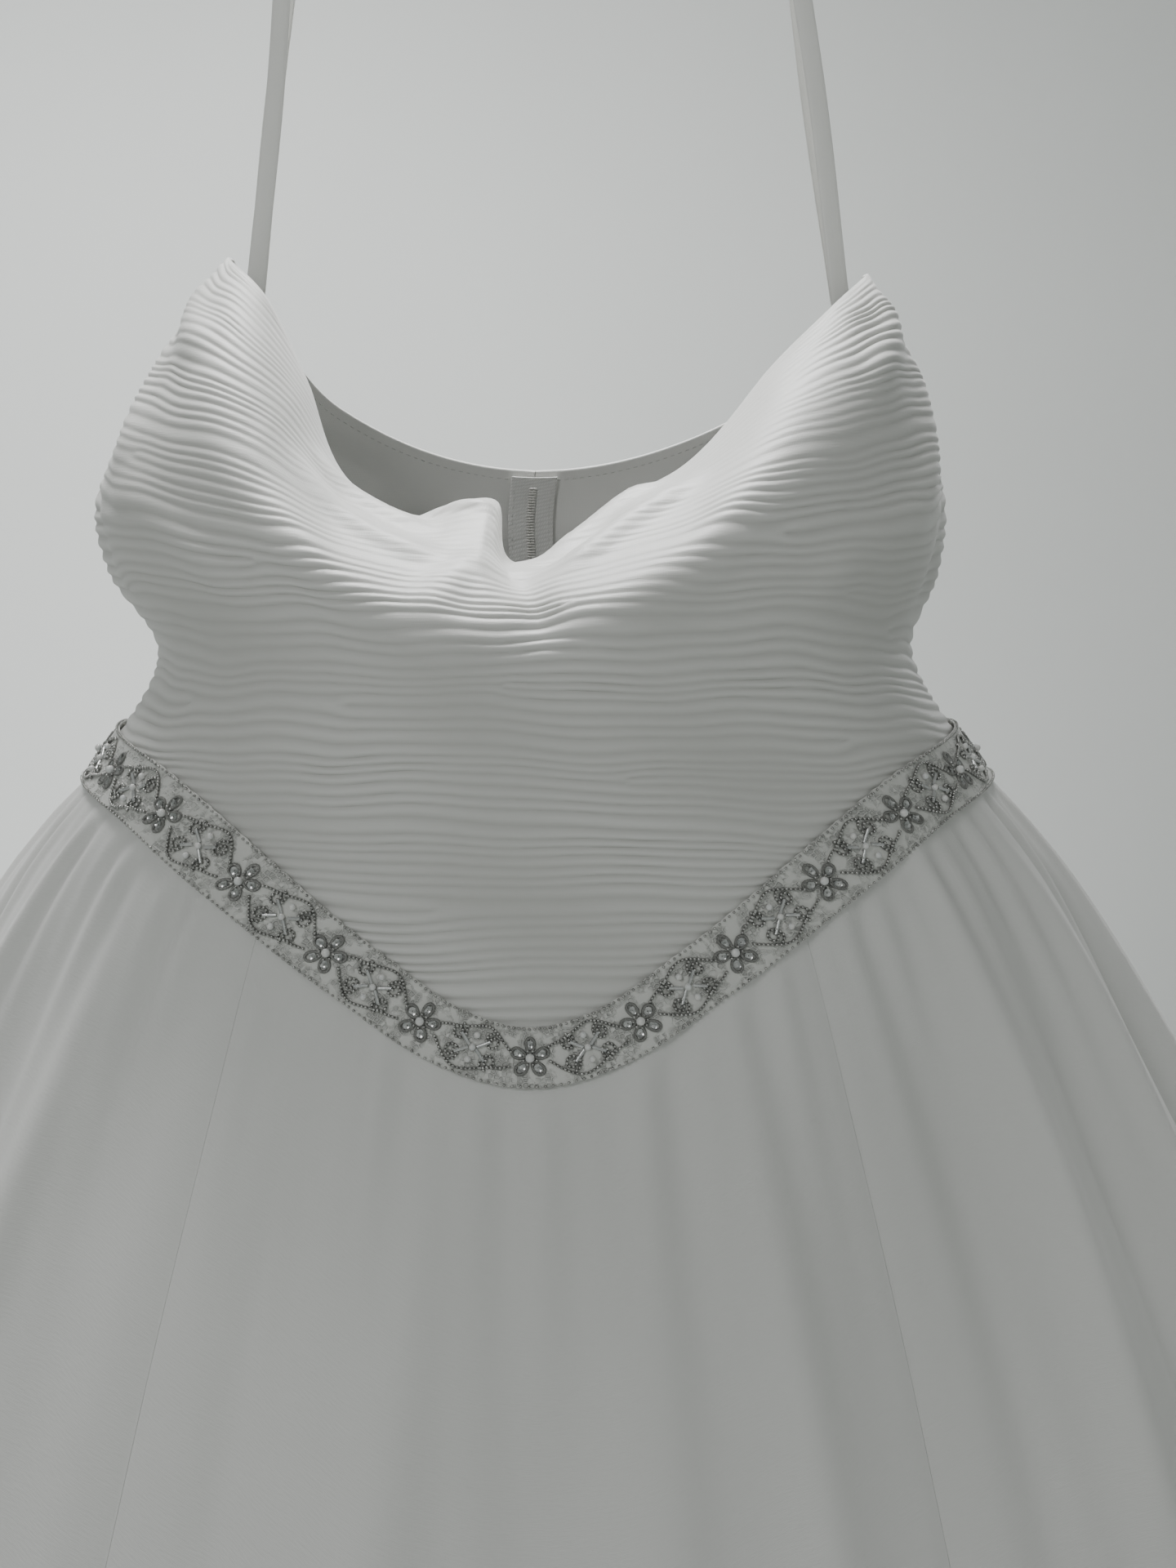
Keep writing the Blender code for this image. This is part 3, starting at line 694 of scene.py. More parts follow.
@dataclass(frozen=True)
class LaceGround:
    """Embroidered net under the beading: round cells of silvery thread over satin, with painted shade in the
    cells' openings.
    """

    name: str = "lace_ground"
    cell: float = 0.0016
    thread: tuple[float, float, float] = (0.74, 0.74, 0.71)
    # Colour of the net's openings: painted shade, darker than the satin seen through them.
    painted_gap_shade: tuple[float, float, float] = (0.50, 0.50, 0.48)

    def make(self) -> bpy.types.Material:
        """Make the material."""
        nodes = Nodes(self.name)
        flat = nodes.cloth_place((1.0, 1.0))
        cells = nodes.add("TexVoronoi", {"Vector": flat, "Scale": 1 / self.cell, "Randomness": 0.55},
                          feature="DISTANCE_TO_EDGE").outputs["Distance"]
        net = nodes.spread(cells, 1.0, 0.0, 0.05, 0.22)
        clouds = nodes.noise(nodes.cloth_place((1.0, 1.0)), 150.0, 2.0)
        filled = nodes.spread(clouds, 0.0, 1.0, 0.44, 0.56)
        cover = nodes.calculate("MAXIMUM", net, filled)
        twist = nodes.noise(flat, 2600.0, 1.0)
        normal = nodes.relief(twist, 0.00006, nodes.relief(cover, 0.0005))
        # Painted shade: the openings between the threads take the shade colour.
        return nodes.dress(base_color=nodes.blend(cover, self.painted_gap_shade, self.thread),
                           roughness=nodes.spread(twist, 0.42, 0.62), normal=normal, metallic=0.15,
                           sheen_weight=0.2)


@dataclass(frozen=True)
class Thread:
    """Twisted thread or cord, with its twist in the relief."""

    name: str
    colour: tuple[float, float, float]
    metallic: float
    twist: float = 0.0006

    def make(self) -> bpy.types.Material:
        """Make the material."""
        nodes = Nodes(self.name)
        place = nodes.object_place()
        strands = nodes.ribs(place, self.twist, "DIAGONAL", 1.5)
        fibres = nodes.noise(place, 3000.0, 2.0)
        darker = tuple(0.72 * part for part in self.colour)
        normal = nodes.relief(fibres, 0.00004, nodes.relief(strands, 0.00016))
        return nodes.dress(base_color=nodes.blend(nodes.calculate("MULTIPLY", strands, fibres), darker,
                                                  self.colour),
                           roughness=nodes.spread(fibres, 0.35, 0.6), metallic=self.metallic, normal=normal)


@dataclass(frozen=True)
class Gloss:
    """Glossy bead, sequin, metal or moulded finish, with a slight change of tone from place to place."""

    name: str
    colour: tuple[float, float, float]
    tint: tuple[float, float, float]
    roughness: tuple[float, float]
    metallic: float = 0.0
    coat: float = 0.0
    grain: float = 700.0
    grain_depth: float = 0.00002

    def make(self) -> bpy.types.Material:
        """Make the material."""
        nodes = Nodes(self.name)
        place = nodes.object_place()
        patches = nodes.noise(place, self.grain, 2.0)
        shares = nodes.spread(patches, 0.0, 1.0, 0.3, 0.7)
        fine = nodes.noise(place, 6 * self.grain, 2.0)
        return nodes.dress(base_color=nodes.blend(shares, self.colour, self.tint), metallic=self.metallic,
                           roughness=nodes.spread(fine, self.roughness[0], self.roughness[1]),
                           normal=nodes.relief(fine, self.grain_depth), coat_weight=self.coat,
                           coat_roughness=0.08)


@dataclass(frozen=True)
class RibbonSatin:
    """Satin ribbon, with ribs across it and a woven edge."""

    name: str = "ribbon_satin"
    colour: tuple[float, float, float] = (0.86, 0.86, 0.83)
    width: float = 0.007

    def make(self) -> bpy.types.Material:
        """Make the material."""
        nodes = Nodes(self.name)
        flat = nodes.cloth_place((1.0, 1.0))
        ribs = nodes.ribs(flat, 0.00035, "X")
        across = nodes.add("SeparateXYZ", {"Vector": flat}).outputs["Y"]
        from_middle = nodes.calculate("ABSOLUTE", nodes.calculate("SUBTRACT", across, 0.5 * self.width))
        edge = nodes.spread(from_middle, 0.0, 1.0, 0.42 * self.width, 0.47 * self.width)
        darker = tuple(0.86 * part for part in self.colour)
        streaks = nodes.noise(nodes.cloth_place((40.0, 1800.0)), 1.0)
        normal = nodes.relief(edge, 0.00012, nodes.relief(ribs, 0.00003, nodes.relief(streaks, 0.00005)))
        colour = nodes.blend(nodes.calculate("MULTIPLY", edge, streaks), self.colour, darker)
        return nodes.dress(base_color=colour, roughness=nodes.spread(streaks, 0.26, 0.42), normal=normal,
                           sheen_weight=0.15)


@dataclass(frozen=True)
class WovenTape:
    """Zip tape in a fine herringbone."""

    name: str = "woven_tape"
    colour: tuple[float, float, float] = (0.80, 0.80, 0.78)

    def make(self) -> bpy.types.Material:
        """Make the material."""
        nodes = Nodes(self.name)
        flat = nodes.cloth_place((1.0, 1.0))
        bones = nodes.calculate("ABSOLUTE", nodes.calculate(
            "SUBTRACT", nodes.ribs(flat, 0.0009, "DIAGONAL"), nodes.ribs(flat, 0.0024, "X")))
        darker = tuple(0.8 * part for part in self.colour)
        return nodes.dress(base_color=nodes.blend(bones, darker, self.colour),
                           roughness=nodes.spread(bones, 0.68, 0.84), normal=nodes.relief(bones, 0.0001))


@dataclass(frozen=True)
class StudioPaint:
    """Matt pale paint of the floor and the wall round it."""

    name: str = "studio_paint"
    colour: tuple[float, float, float] = (0.78, 0.80, 0.785)

    def make(self) -> bpy.types.Material:
        """Make the material."""
        nodes = Nodes(self.name)
        clouds = nodes.noise(nodes.object_place(), 0.7, 3.0)
        darker = tuple(0.95 * part for part in self.colour)
        stipple = nodes.noise(nodes.object_place(), 160.0, 2.0)
        return nodes.dress(base_color=nodes.blend(clouds, darker, self.colour),
                           roughness=nodes.spread(stipple, 0.82, 0.92), normal=nodes.relief(stipple, 0.0003))


class Wardrobe:
    """Every finish of the gown, made once."""

    def __init__(self) -> None:
        """Make the materials."""
        # Each satin's third colour is painted shade for the bottoms of the ruched front's pleats, and a slub
        # tint elsewhere.
        self.bodice = Satin("bodice_satin", (0.80, 0.80, 0.775), (0.60, 0.60, 0.575)).make()
        self.back = Satin("back_satin", (0.80, 0.80, 0.775), (0.70, 0.70, 0.675), crumple_depth=0.0016).make()
        self.skirt = Satin("skirt_satin", (0.77, 0.77, 0.75), (0.66, 0.66, 0.64), roughness=(0.44, 0.58),
                           sheen=0.25, crumple_depth=0.0026, crumple_scale=7.0).make()
        self.lining = Lining().make()
        self.ground = LaceGround().make()
        self.cord = Thread("silver_cord", (0.34, 0.34, 0.325), 0.35).make()
        self.sewing = Thread("sewing_thread", (0.78, 0.78, 0.75), 0.0, 0.0004).make()
        self.pearl = Gloss("pearl", (0.84, 0.82, 0.79), (0.78, 0.80, 0.80), (0.14, 0.26), coat=0.7,
                           grain=420.0).make()
        self.seed = Gloss("silver_lined_bead", (0.32, 0.32, 0.31), (0.62, 0.62, 0.60), (0.12, 0.30), 0.85,
                          grain=520.0).make()
        self.bugle = Gloss("glass_bugle", (0.70, 0.71, 0.70), (0.52, 0.53, 0.53), (0.06, 0.18), 0.55,
                           coat=0.5,
                           grain=500.0).make()
        self.sequin = Gloss("sequin", (0.66, 0.66, 0.65), (0.45, 0.46, 0.46), (0.12, 0.28), 0.9,
                            grain=600.0).make()
        self.ribbon = RibbonSatin().make()
        self.tape = WovenTape().make()
        self.plastic = Gloss("hanger_plastic", (0.72, 0.71, 0.68), (0.69, 0.68, 0.65), (0.30, 0.44),
                             grain=60.0, grain_depth=0.00008).make()
        self.wire = Gloss("hook_wire", (0.70, 0.70, 0.70), (0.62, 0.62, 0.61), (0.16, 0.30), 1.0,
                          grain=180.0).make()
        self.metal = Gloss("zip_metal", (0.74, 0.74, 0.73), (0.63, 0.63, 0.61), (0.20, 0.36), 1.0,
                           grain=900.0).make()
        self.paint = StudioPaint().make()


# ---------------------------------------------------------------- shared making


@dataclass(frozen=True)
class Cut:
    """Flat piece of cloth before it was sewn: its width, length and area in metres."""

    width: float
    length: float
    area: float


def fix(piece: bpy.types.Object, stands_for: Sequence[str] = (),
        body: str = BODY) -> bpy.types.Object:
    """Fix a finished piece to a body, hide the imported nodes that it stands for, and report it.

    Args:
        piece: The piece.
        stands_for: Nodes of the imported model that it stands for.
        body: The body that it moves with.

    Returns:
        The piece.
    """
    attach(piece, body)
    if stands_for:
        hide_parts(*stands_for)
    LOG.info("%s: %d faces", piece.name, len(piece.data.polygons))
    return piece


def rim(distance: np.ndarray, cloth: float) -> np.ndarray:
    """Return half the cloth's thickness at a distance from a turned edge, which it rounds off."""
    share = np.clip(2 * distance / cloth, 0, 1)
    return 0.5 * cloth * np.maximum(np.sqrt(1 - (1 - share) ** 2), 0.15)


def seam_spaced(start: float, end: float, count: int, radius: float) -> np.ndarray:
    """Space angles evenly between two seams, with more of them beside each seam.

    Args:
        start: Angle of the first seam.
        end: Angle of the last seam.
        count: Number of even steps.
        radius: Radius that turns an angle into a distance.

    Returns:
        Angles, half a seam gap short of each seam.
    """
    first, last = start + 0.5 * SEAM_GAP / radius, end - 0.5 * SEAM_GAP / radius
    beside = np.array([0.0007, 0.0016, 0.0030]) / radius
    even = np.linspace(first, last, count + 1)
    even = even[(even == first) | (even == last) |
                ((even > first + 0.004 / radius) & (even < last - 0.004 / radius))]
    return np.sort(np.concatenate([even, first + beside, last - beside]))


def seam_dip(angles: np.ndarray, radius: np.ndarray | float) -> np.ndarray:
    """Return how far the cloth turns in beside the first and the last angle, where its seams are."""
    beside = np.minimum(angles - angles[0], angles[-1] - angles) * radius
    return -0.0008 * np.exp(-(beside / 0.0016) ** 2)


def add_stitches(draft: MeshDraft, path: np.ndarray, normals: np.ndarray, pitch: float, length: float,
                 thickness: float) -> None:
    """Sew a line of stitches.

    Args:
        draft: Draft that takes them.
        path: Points of the line.
        normals: The cloth's normals there.
        pitch: Distance from one stitch to the next.
        length: Length of a stitch.
        thickness: Thickness of the thread.
    """
    along = np.concatenate([[0], np.cumsum(np.linalg.norm(np.diff(path, axis=0), axis=1))])
    places = np.arange(pitch, along[-1] - pitch, pitch)
    middle, ahead, rise = (np.stack([np.interp(at, along, line[:, axis]) for axis in range(3)], axis=1)
                           for at, line in ((places, path), (places + 0.2 * pitch, path), (places, normals)))
    forward = unit(ahead - middle)
    side = unit(np.cross(rise, forward))
    frames = np.stack([forward, side, np.cross(forward, side)], axis=1)
    sizes = np.tile([0.5 * length, 0.5 * thickness, 0.5 * thickness], (len(places), 1))
    draft.add_copies(Shape.ball(1), middle, frames, sizes)


# ---------------------------------------------------------------- bodice


class BodiceChart:
    """The bodice's surface under a set of angles, laid out by distance along the cloth."""

    def __init__(self, form: GownForm, angles: np.ndarray) -> None:
        """Lay out the surface from the waist seam, up the straight stretch and over the leaning one."""
        straight_rows, leaning_rows = 150, 110
        low, start = form.waist(angles) + 0.5 * SEAM_GAP, form.lean_start(angles)
        up = np.linspace(0, 1, straight_rows)
        over = np.linspace(0, 1, leaning_rows + 1)[1:]
        around = angles[:, None]
        heights = low[:, None] + (start - low)[:, None] * up
        self.points = np.concatenate([form.body(around + 0 * up, heights),
                                      form.leaning(around + 0 * over, over + 0 * around)], axis=1)
        steps = np.linalg.norm(np.diff(self.points, axis=1), axis=2)
        along = np.concatenate([np.zeros((len(angles), 1)), np.cumsum(steps, axis=1)], axis=1)
        self.reach = start[:, None] + along - along[:, straight_rows - 1:straight_rows]
        self.normals = sheet_normals(self.points)
        self.ups = unit(np.gradient(self.points, axis=1))

    def at(self, reach: np.ndarray) -> tuple[np.ndarray, np.ndarray, np.ndarray]:
        """Find places on the cloth.

        Args:
            reach: Distances along the cloth, by column and row. They equal the height where it leans.

        Returns:
            Points, outward normals, and directions up the cloth.
        """
        def read(values: np.ndarray) -> np.ndarray:
            """Read one of the layouts."""
            return np.array([[np.interp(reach[column], self.reach[column], values[column, :, axis])
                              for axis in range(3)] for column in range(len(reach))]).transpose(0, 2, 1)

        return read(self.points), unit(read(self.normals)), unit(read(self.ups))


@dataclass(frozen=True)
class Ruching:
    """Fine pleats that arch over the front, with forks where one pleat becomes two."""

    pitch: float = 0.0037
    depth: float = 0.0011
    rows_per_pleat: int = 7
    low_arch: float = 0.020
    high_arch: float = -0.018
    fork_radius: float = 0.13
    forks: Rows = (
        (-66, -0.430, 1), (-52, -0.470, -1), (-41, -0.505, 1), (-24, -0.462, 1), (-9, -0.530, -1),
        (11, -0.486, 1), (26, -0.520, -1), (42, -0.478, -1), (61, -0.440, 1), (-33, -0.415, -1),
        (6, -0.428, -1), (34, -0.405, 1), (-58, -0.380, 1), (19, -0.548, 1), (-16, -0.395, 1),
        (52, -0.500, 1), (71, -0.385, -1), (-74, -0.400, -1), (-3, -0.455, 1), (47, -0.425, 1),
    )

    def level(self, angle: np.ndarray, reach: np.ndarray) -> np.ndarray:
        """Return a measure that is the same all along a pleat and grows up the cloth."""
        arch = self.low_arch + (self.high_arch - self.low_arch) * smooth_step(reach, -0.52, -0.36)
        ripple = (0.0011 * np.sin(5 * angle + 40 * reach) + 0.0006 * np.sin(11 * angle - 63 * reach + 1.3)
                  + 0.0003 * np.sin(23 * angle + 95 * reach + 0.4))
        return reach + arch * np.sin(angle) ** 2 + ripple

    def crest(self, angle: np.ndarray, reach: np.ndarray) -> np.ndarray:
        """Return the height of the pleats, from 0 to 1."""
        level = self.level(angle, reach)
        phase = (level + 0.0010 * np.sin(210 * level + 1) + 0.0005 * np.sin(470 * level)) / self.pitch
        for degrees, height, turn in self.forks:
            beside = (angle - math.radians(degrees)) * self.fork_radius
            phase = phase + turn * np.arctan2(reach - height, beside) / (2 * math.pi)
        share = (phase - np.floor(phase)) ** 0.8
        uneven = 0.66 + 0.34 * np.sin(6 * angle + 62 * reach + np.sin(3 * angle)) * (
            np.sin(4 * angle - 37 * reach + 0.8))
        return uneven * (0.55 * (0.5 - 0.5 * np.cos(2 * math.pi * share)) +
                         0.45 * (1 - np.abs(2 * share - 1) ** 2.6))


@dataclass(frozen=True)
class EdgeFold:
    """Fold that the slack top edge throws up: a loop seen end on, which fades down the cloth.

    Its middle is an angle in degrees at the edge, and drifts by some degrees for each metre down.
    """

    degrees: float
    half_widths: tuple[float, float]
    depth: float
    length: float
    overhang: float = 0.0
    topple: float = 0.0
    drift: float = 0.0

    def offsets(self, across: np.ndarray, down: np.ndarray, radius: float) -> tuple[np.ndarray, np.ndarray]:
        """Work out how far the cloth stands out and shifts sideways.

        Args:
            across: Angles in degrees.
            down: Distances down the cloth.
            radius: Radius that turns an angle into a distance.

        Returns:
            Distances outward, and distances round towards +X.
        """
        beside = (across - self.degrees - self.drift * down) * math.radians(1) * radius
        share = np.clip(beside / np.where(beside < 0, *self.half_widths), -1, 1)
        fade = smooth_step(down, self.length, 0.0)
        rise = 0.5 * (1 + np.cos(math.pi * share))
        return self.depth * rise * fade, (self.overhang * np.sin(math.pi * share) + self.topple) * rise * fade


@dataclass(frozen=True)
class Bodice:
    """Strapless bodice: a ruched front, slack at its top edge, and two plain back panels."""

    form: GownForm
    wardrobe: Wardrobe
    front_cut: Cut = Cut(0.44, 0.34, 0.125)
    back_cut: Cut = Cut(0.23, 0.20, 0.032)
    cloth: float = 0.0018
    front_columns: int = 172
    back_columns: int = 84
    back_rows: int = 96
    lining_rows: int = 64
    ruching: Ruching = Ruching()
    edge_rows: tuple[float, ...] = (0.0030, 0.0021, 0.0014, 0.0009, 0.00045, 0.00015, 0.0)
    fine_columns: tuple[float, float, float] = (-8.5, 1.0, 0.28)
    edge_folds: tuple[EdgeFold, ...] = (
        EdgeFold(-0.8, (0.0110, 0.0480), -0.0135, 0.085),
        EdgeFold(-5.4, (0.0230, 0.0095), 0.0100, 0.058, 0.0036, 0.0034, 20.0))
    front_creases: tuple[Crease, ...] = (
        Crease((3, 0.030), (19, 0.012), 0.0070, 0.0034, 0.004, 0.7),
        Crease((1, 0.050), (15, 0.030), 0.0065, -0.0026, 0.004),
        Crease((5, 0.062), (24, 0.036), 0.0080, 0.0034, 0.004, 0.7),
        Crease((-4, 0.019), (-13, 0.011), 0.0045, 0.0026, -0.002, 0.5),
        Crease((-10, 0.030), (-27, 0.020), 0.0080, 0.0034, -0.003, 0.6),
        Crease((-8, 0.052), (-29, 0.040), 0.0080, 0.0028, 0.0, 0.7),
        Crease((-4, 0.044), (-13, 0.086), 0.0060, 0.0024),
        Crease((0, 0.050), (3, 0.094), 0.0060, -0.0026),
        Crease((-31, 0.072), (-3, 0.090), 0.0120, 0.0028, -0.004),
        Crease((3, 0.088), (33, 0.068), 0.0120, 0.0030, -0.004),
        Crease((79, 0.012), (52, 0.058), 0.0080, 0.0032, 0.003),
        Crease((85, 0.032), (60, 0.108), 0.0090, 0.0028),
        Crease((84, 0.060), (70, 0.140), 0.0080, -0.0024),
        Crease((-81, 0.014), (-53, 0.054), 0.0080, 0.0032, -0.003),
        Crease((-86, 0.030), (-58, 0.106), 0.0090, 0.0026),
        Crease((-83, 0.066), (-69, 0.142), 0.0080, -0.0022),
        Crease((38, 0.120), (66, 0.104), 0.0100, 0.0022, 0.003),
        Crease((-36, 0.124), (-64, 0.108), 0.0100, 0.0020, -0.003),
    )
    back_creases: tuple[Crease, ...] = (
        Crease((95, 0.012), (122, 0.050), 0.0070, 0.0032, 0.003),
        Crease((94, 0.036), (116, 0.088), 0.0080, 0.0024),
        Crease((112, 0.066), (166, 0.080), 0.0090, 0.0024, 0.005),
        Crease((118, 0.088), (170, 0.094), 0.0080, -0.0020, 0.004),
        Crease((104, 0.104), (150, 0.098), 0.0070, 0.0018),
        Crease((158, 0.024), (177, 0.040), 0.0060, 0.0018),
        Crease((128, 0.020), (160, 0.014), 0.0060, 0.0014, 0.002),
        Crease((126, 0.034), (158, 0.050), 0.0070, -0.0016),
    )

    def middle(self, chart: BodiceChart, angles: np.ndarray, reach: np.ndarray,
               creases: Sequence[Crease]) -> tuple[np.ndarray, np.ndarray]:
        """Find the middle of the cloth, creased and curled.

        Args:
            chart: The panel's surface.
            angles: The panel's angles.
            reach: Distances along the cloth, by column and row.
            creases: The panel's creases.

        Returns:
            Points and outward normals.
        """
        points, normals, ups = chart.at(reach)
        top = chart.reach[:, -1:]
        degrees = np.degrees(angles)[:, None]
        dip = seam_dip(angles, 0.13)[:, None]
        height = crease_heights(creases, degrees, top - reach, 0.13) + dip - 0.5 * self.cloth
        points = points + normals * height[..., None]
        offsets = [fold.offsets(degrees, top - reach, 0.16) for fold in self.edge_folds]
        out, aside = (sum(pair[index] for pair in offsets) for index in (0, 1))
        points = points + normals * out[..., None] + np.cross(ups, normals) * aside[..., None]
        return points, sheet_normals(points)

    def draw_front(self) -> bpy.types.Object:
        """Draw the ruched front, whose rows run along its pleats.

        Returns:
            The piece.
        """
        angles = seam_spaced(-math.pi / 2, math.pi / 2, self.front_columns, 0.13)
        first, last, step = np.radians(self.fine_columns)
        angles = np.sort(np.concatenate([angles[(angles < first) | (angles > last)],
                                         np.arange(first, last, step)]))
        chart = BodiceChart(self.form, angles)
        low, top = chart.reach[:, 0], chart.reach[:, -1]
        turned = top - self.edge_rows[0]
        around = angles[:, None]
        dense = self.ruching.level(around, chart.reach)
        low_level, turned_level = self.ruching.level(angles, low), self.ruching.level(angles, turned)
        step = self.ruching.pitch / self.ruching.rows_per_pleat
        first = math.floor(low_level.min() / step)
        levels = np.arange(first, math.ceil(turned_level.max() / step) + 1) * step
        low_row = np.searchsorted(levels, low_level + 0.35 * step, side="right") - 1
        high_row = np.searchsorted(levels, turned_level - 0.35 * step, side="left")
        rows = np.clip(np.arange(len(levels))[None], low_row[:, None], high_row[:, None])
        reach = np.array([np.interp(levels[row], line, distance)
                          for row, line, distance in zip(rows, dense, chart.reach)])
        reach = np.where(rows == low_row[:, None], low[:, None], reach)
        reach = np.where(rows == high_row[:, None], turned[:, None], reach)
        reach = np.concatenate([reach, top[:, None] - np.array(self.edge_rows[1:])], axis=1)
        points, normals = self.middle(chart, angles, reach, self.front_creases)
        down = top[:, None] - reach
        crest = self.ruching.crest(around, reach)
        fade = smooth_step(down, 0.0012, 0.007) * (
            0.25 + 0.75 * smooth_step(reach - low[:, None], 0.004, 0.016))
        slack = smooth_step(np.abs(np.degrees(around)), 62, 30)
        fade = fade * (1 - 0.78 * slack * smooth_step(down, 0.095, 0.045))
        lift = rim(down, self.cloth) + self.ruching.depth * crest * fade
        flat = np.stack([around * 0.13 + 0 * reach, reach], axis=-1)
        draft = MeshDraft()
        # The fold mark, lower in the bottoms of the pleats, sets where the satin's colour is painted with
        # shade.
        numbers = draft.add_points(points + normals * lift[..., None], flat, 1 - fade * (1 - crest))
        picked = np.concatenate([rows, rows[:, -1:] * 0 + len(levels) + np.arange(len(self.edge_rows) - 1)],
                                axis=1)
        face = np.take_along_axis(numbers, picked, axis=1)
        draft.add_grid(face)

        inner_reach = np.concatenate([
            low[:, None] + (turned - low)[:, None] * np.linspace(0, 1, self.lining_rows),
            top[:, None] - np.array(self.edge_rows[1:])], axis=1)
        points, normals = self.middle(chart, angles, inner_reach, self.front_creases)
        lift = rim(top[:, None] - inner_reach, self.cloth)
        flat = np.stack([around * 0.13 + 0 * inner_reach, inner_reach], axis=-1)
        back = draft.add_points(points - normals * lift[..., None], flat)
        draft.add_grid(back, side=1, inside_out=True)
        draft.add_border(face[:, 0], back[:, 0], angles, angles)
        draft.add_border(back[:, -1], face[:, -1], angles, angles)
        for column, outer_first in ((0, False), (-1, True)):
            keep = np.concatenate([[True], np.diff(face[column]) != 0])
            lines = [(face[column][keep], reach[column][keep]), (back[column], inner_reach[column])]
            first_line, second_line = lines if outer_first else lines[::-1]
            draft.add_border(first_line[0], second_line[0], first_line[1], second_line[1])
        piece = draft.finish("ruched_front", [self.wardrobe.bodice, self.wardrobe.lining])
        return fix(piece, ["bodice_front"])

    def draw_back(self, side: Side) -> bpy.types.Object:
        """Draw a plain back panel.

        Args:
            side: Which of the two.

        Returns:
            The piece.
        """
        ends = sorted((side.value * math.pi / 2, side.value * math.pi))
        angles = seam_spaced(ends[0], ends[1], self.back_columns, 0.12)
        chart = BodiceChart(self.form, angles)
        low, top = chart.reach[:, 0], chart.reach[:, -1]
        turned = top - self.edge_rows[0]
        reach = np.concatenate([low[:, None] + (turned - low)[:, None] * np.linspace(0, 1, self.back_rows),
                                top[:, None] - np.array(self.edge_rows[1:])], axis=1)
        shift = 0.0 if side is Side.LEFT else 0.004
        creases = [Crease((side.value * item.start[0], item.start[1] + shift),
                          (side.value * item.end[0], item.end[1] + shift), item.width, item.depth,
                          side.value * item.bow) for item in self.back_creases]
        points, normals = self.middle(chart, angles, reach, creases)
        lift = rim(top[:, None] - reach, self.cloth)[..., None]
        flat = np.stack([angles[:, None] * 0.12 + 0 * reach, reach], axis=-1)
        draft = MeshDraft()
        draft.add_wall(points + normals * lift, points - normals * lift, flat)
        half = side.name.lower()
        piece = draft.finish(f"plain_back_{half}", [self.wardrobe.back, self.wardrobe.lining])
        return fix(piece, [f"bodice_back_{half}"])

    def sew_edge(self) -> bpy.types.Object:
        """Sew the line of stitches that holds the lining below the top edge, on the inside.

        Returns:
            The piece.
        """
        draft = MeshDraft()
        for start, end in ((-180, -90), (-90, 90), (90, 180)):
            angles = np.radians(np.linspace(start + 0.6, end - 0.6, 240))
            chart = BodiceChart(self.form, angles)
            creases = self.front_creases if start == -90 else ()
            reach = chart.reach[:, -1:] - np.array([0.0055, 0.0045, 0.0035])
            points, normals = self.middle(chart, angles, reach, creases)
            inside = points[:, 1] - normals[:, 1] * 0.5 * self.cloth
            add_stitches(draft, inside, normals[:, 1], 0.0034, 0.0024, 0.00045)
        return fix(draft.finish("edge_stitches", [self.wardrobe.sewing]))


# ---------------------------------------------------------------- waist band


class WaistLine:
    """The waist seam unrolled: distance along it from the centre front, and across it."""

    def __init__(self, form: GownForm) -> None:
        """Measure the seam once round."""
        self.form = form
        self.angles = np.linspace(-math.pi, math.pi, 2881)
        points = form.body(self.angles, form.waist(self.angles))
        steps = np.diff(points, axis=0)
        along = np.concatenate([[0], np.cumsum(np.linalg.norm(steps, axis=1))])
        self.along = along - np.interp(0.0, self.angles, along)
        level = np.linalg.norm(np.gradient(points[:, :2], axis=0), axis=1)
        self.slope = np.arctan2(np.gradient(points[:, 2]), level)
        self.radius = level / (self.angles[1] - self.angles[0])

    def distance(self, degrees: float) -> float:
        """Return the distance along the seam to an angle."""
        return float(np.interp(math.radians(degrees), self.angles, self.along))

    def place(self, along: np.ndarray, across: np.ndarray, lift: np.ndarray | float) -> np.ndarray:
        """Find points on the band.

        Args:
            along: Distances along the seam.
            across: Distances above it, square to it.
            lift: Distances out from the gown's surface.

        Returns:
            Points.
        """
        angle = np.interp(along, self.along, self.angles)
        slope = np.interp(angle, self.angles, self.slope)
        height = self.form.waist(angle) + across * np.cos(slope)
        turned = angle - across * np.sin(slope) / np.interp(angle, self.angles, self.radius)
        normals = self.form.outward(turned, height)
        return self.form.body(turned, height) + normals * (np.asarray(lift) + 0 * angle)[..., None]

    def frames(self, along: np.ndarray, across: np.ndarray, turn: np.ndarray | float = 0.0,
               tilt: np.ndarray | float = 0.0) -> np.ndarray:
        """Find own directions for small shapes on the band.

        Args:
            along: Distances along the seam.
            across: Distances above it.
            turn: How far each shape turns on the band.
            tilt: How far it tips up.

        Returns:
            Directions, as rows X, Y and Z, where Z faces out.
        """
        here, step = self.place(along, across, 0.0), 0.0002
        ahead = unit(self.place(along + step, across, 0.0) - here)
        above = unit(self.place(along, across + step, 0.0) - here)
        out = unit(np.cross(ahead, above))
        above = np.cross(out, ahead)
        turn, tilt = (np.asarray(value + 0 * along)[..., None] for value in (turn, tilt))
        x_way = np.cos(turn) * ahead + np.sin(turn) * above
        y_way = np.cross(out, x_way)
        return np.stack([np.cos(tilt) * x_way + np.sin(tilt) * out, y_way,
                         np.cos(tilt) * out - np.sin(tilt) * x_way], axis=-2)


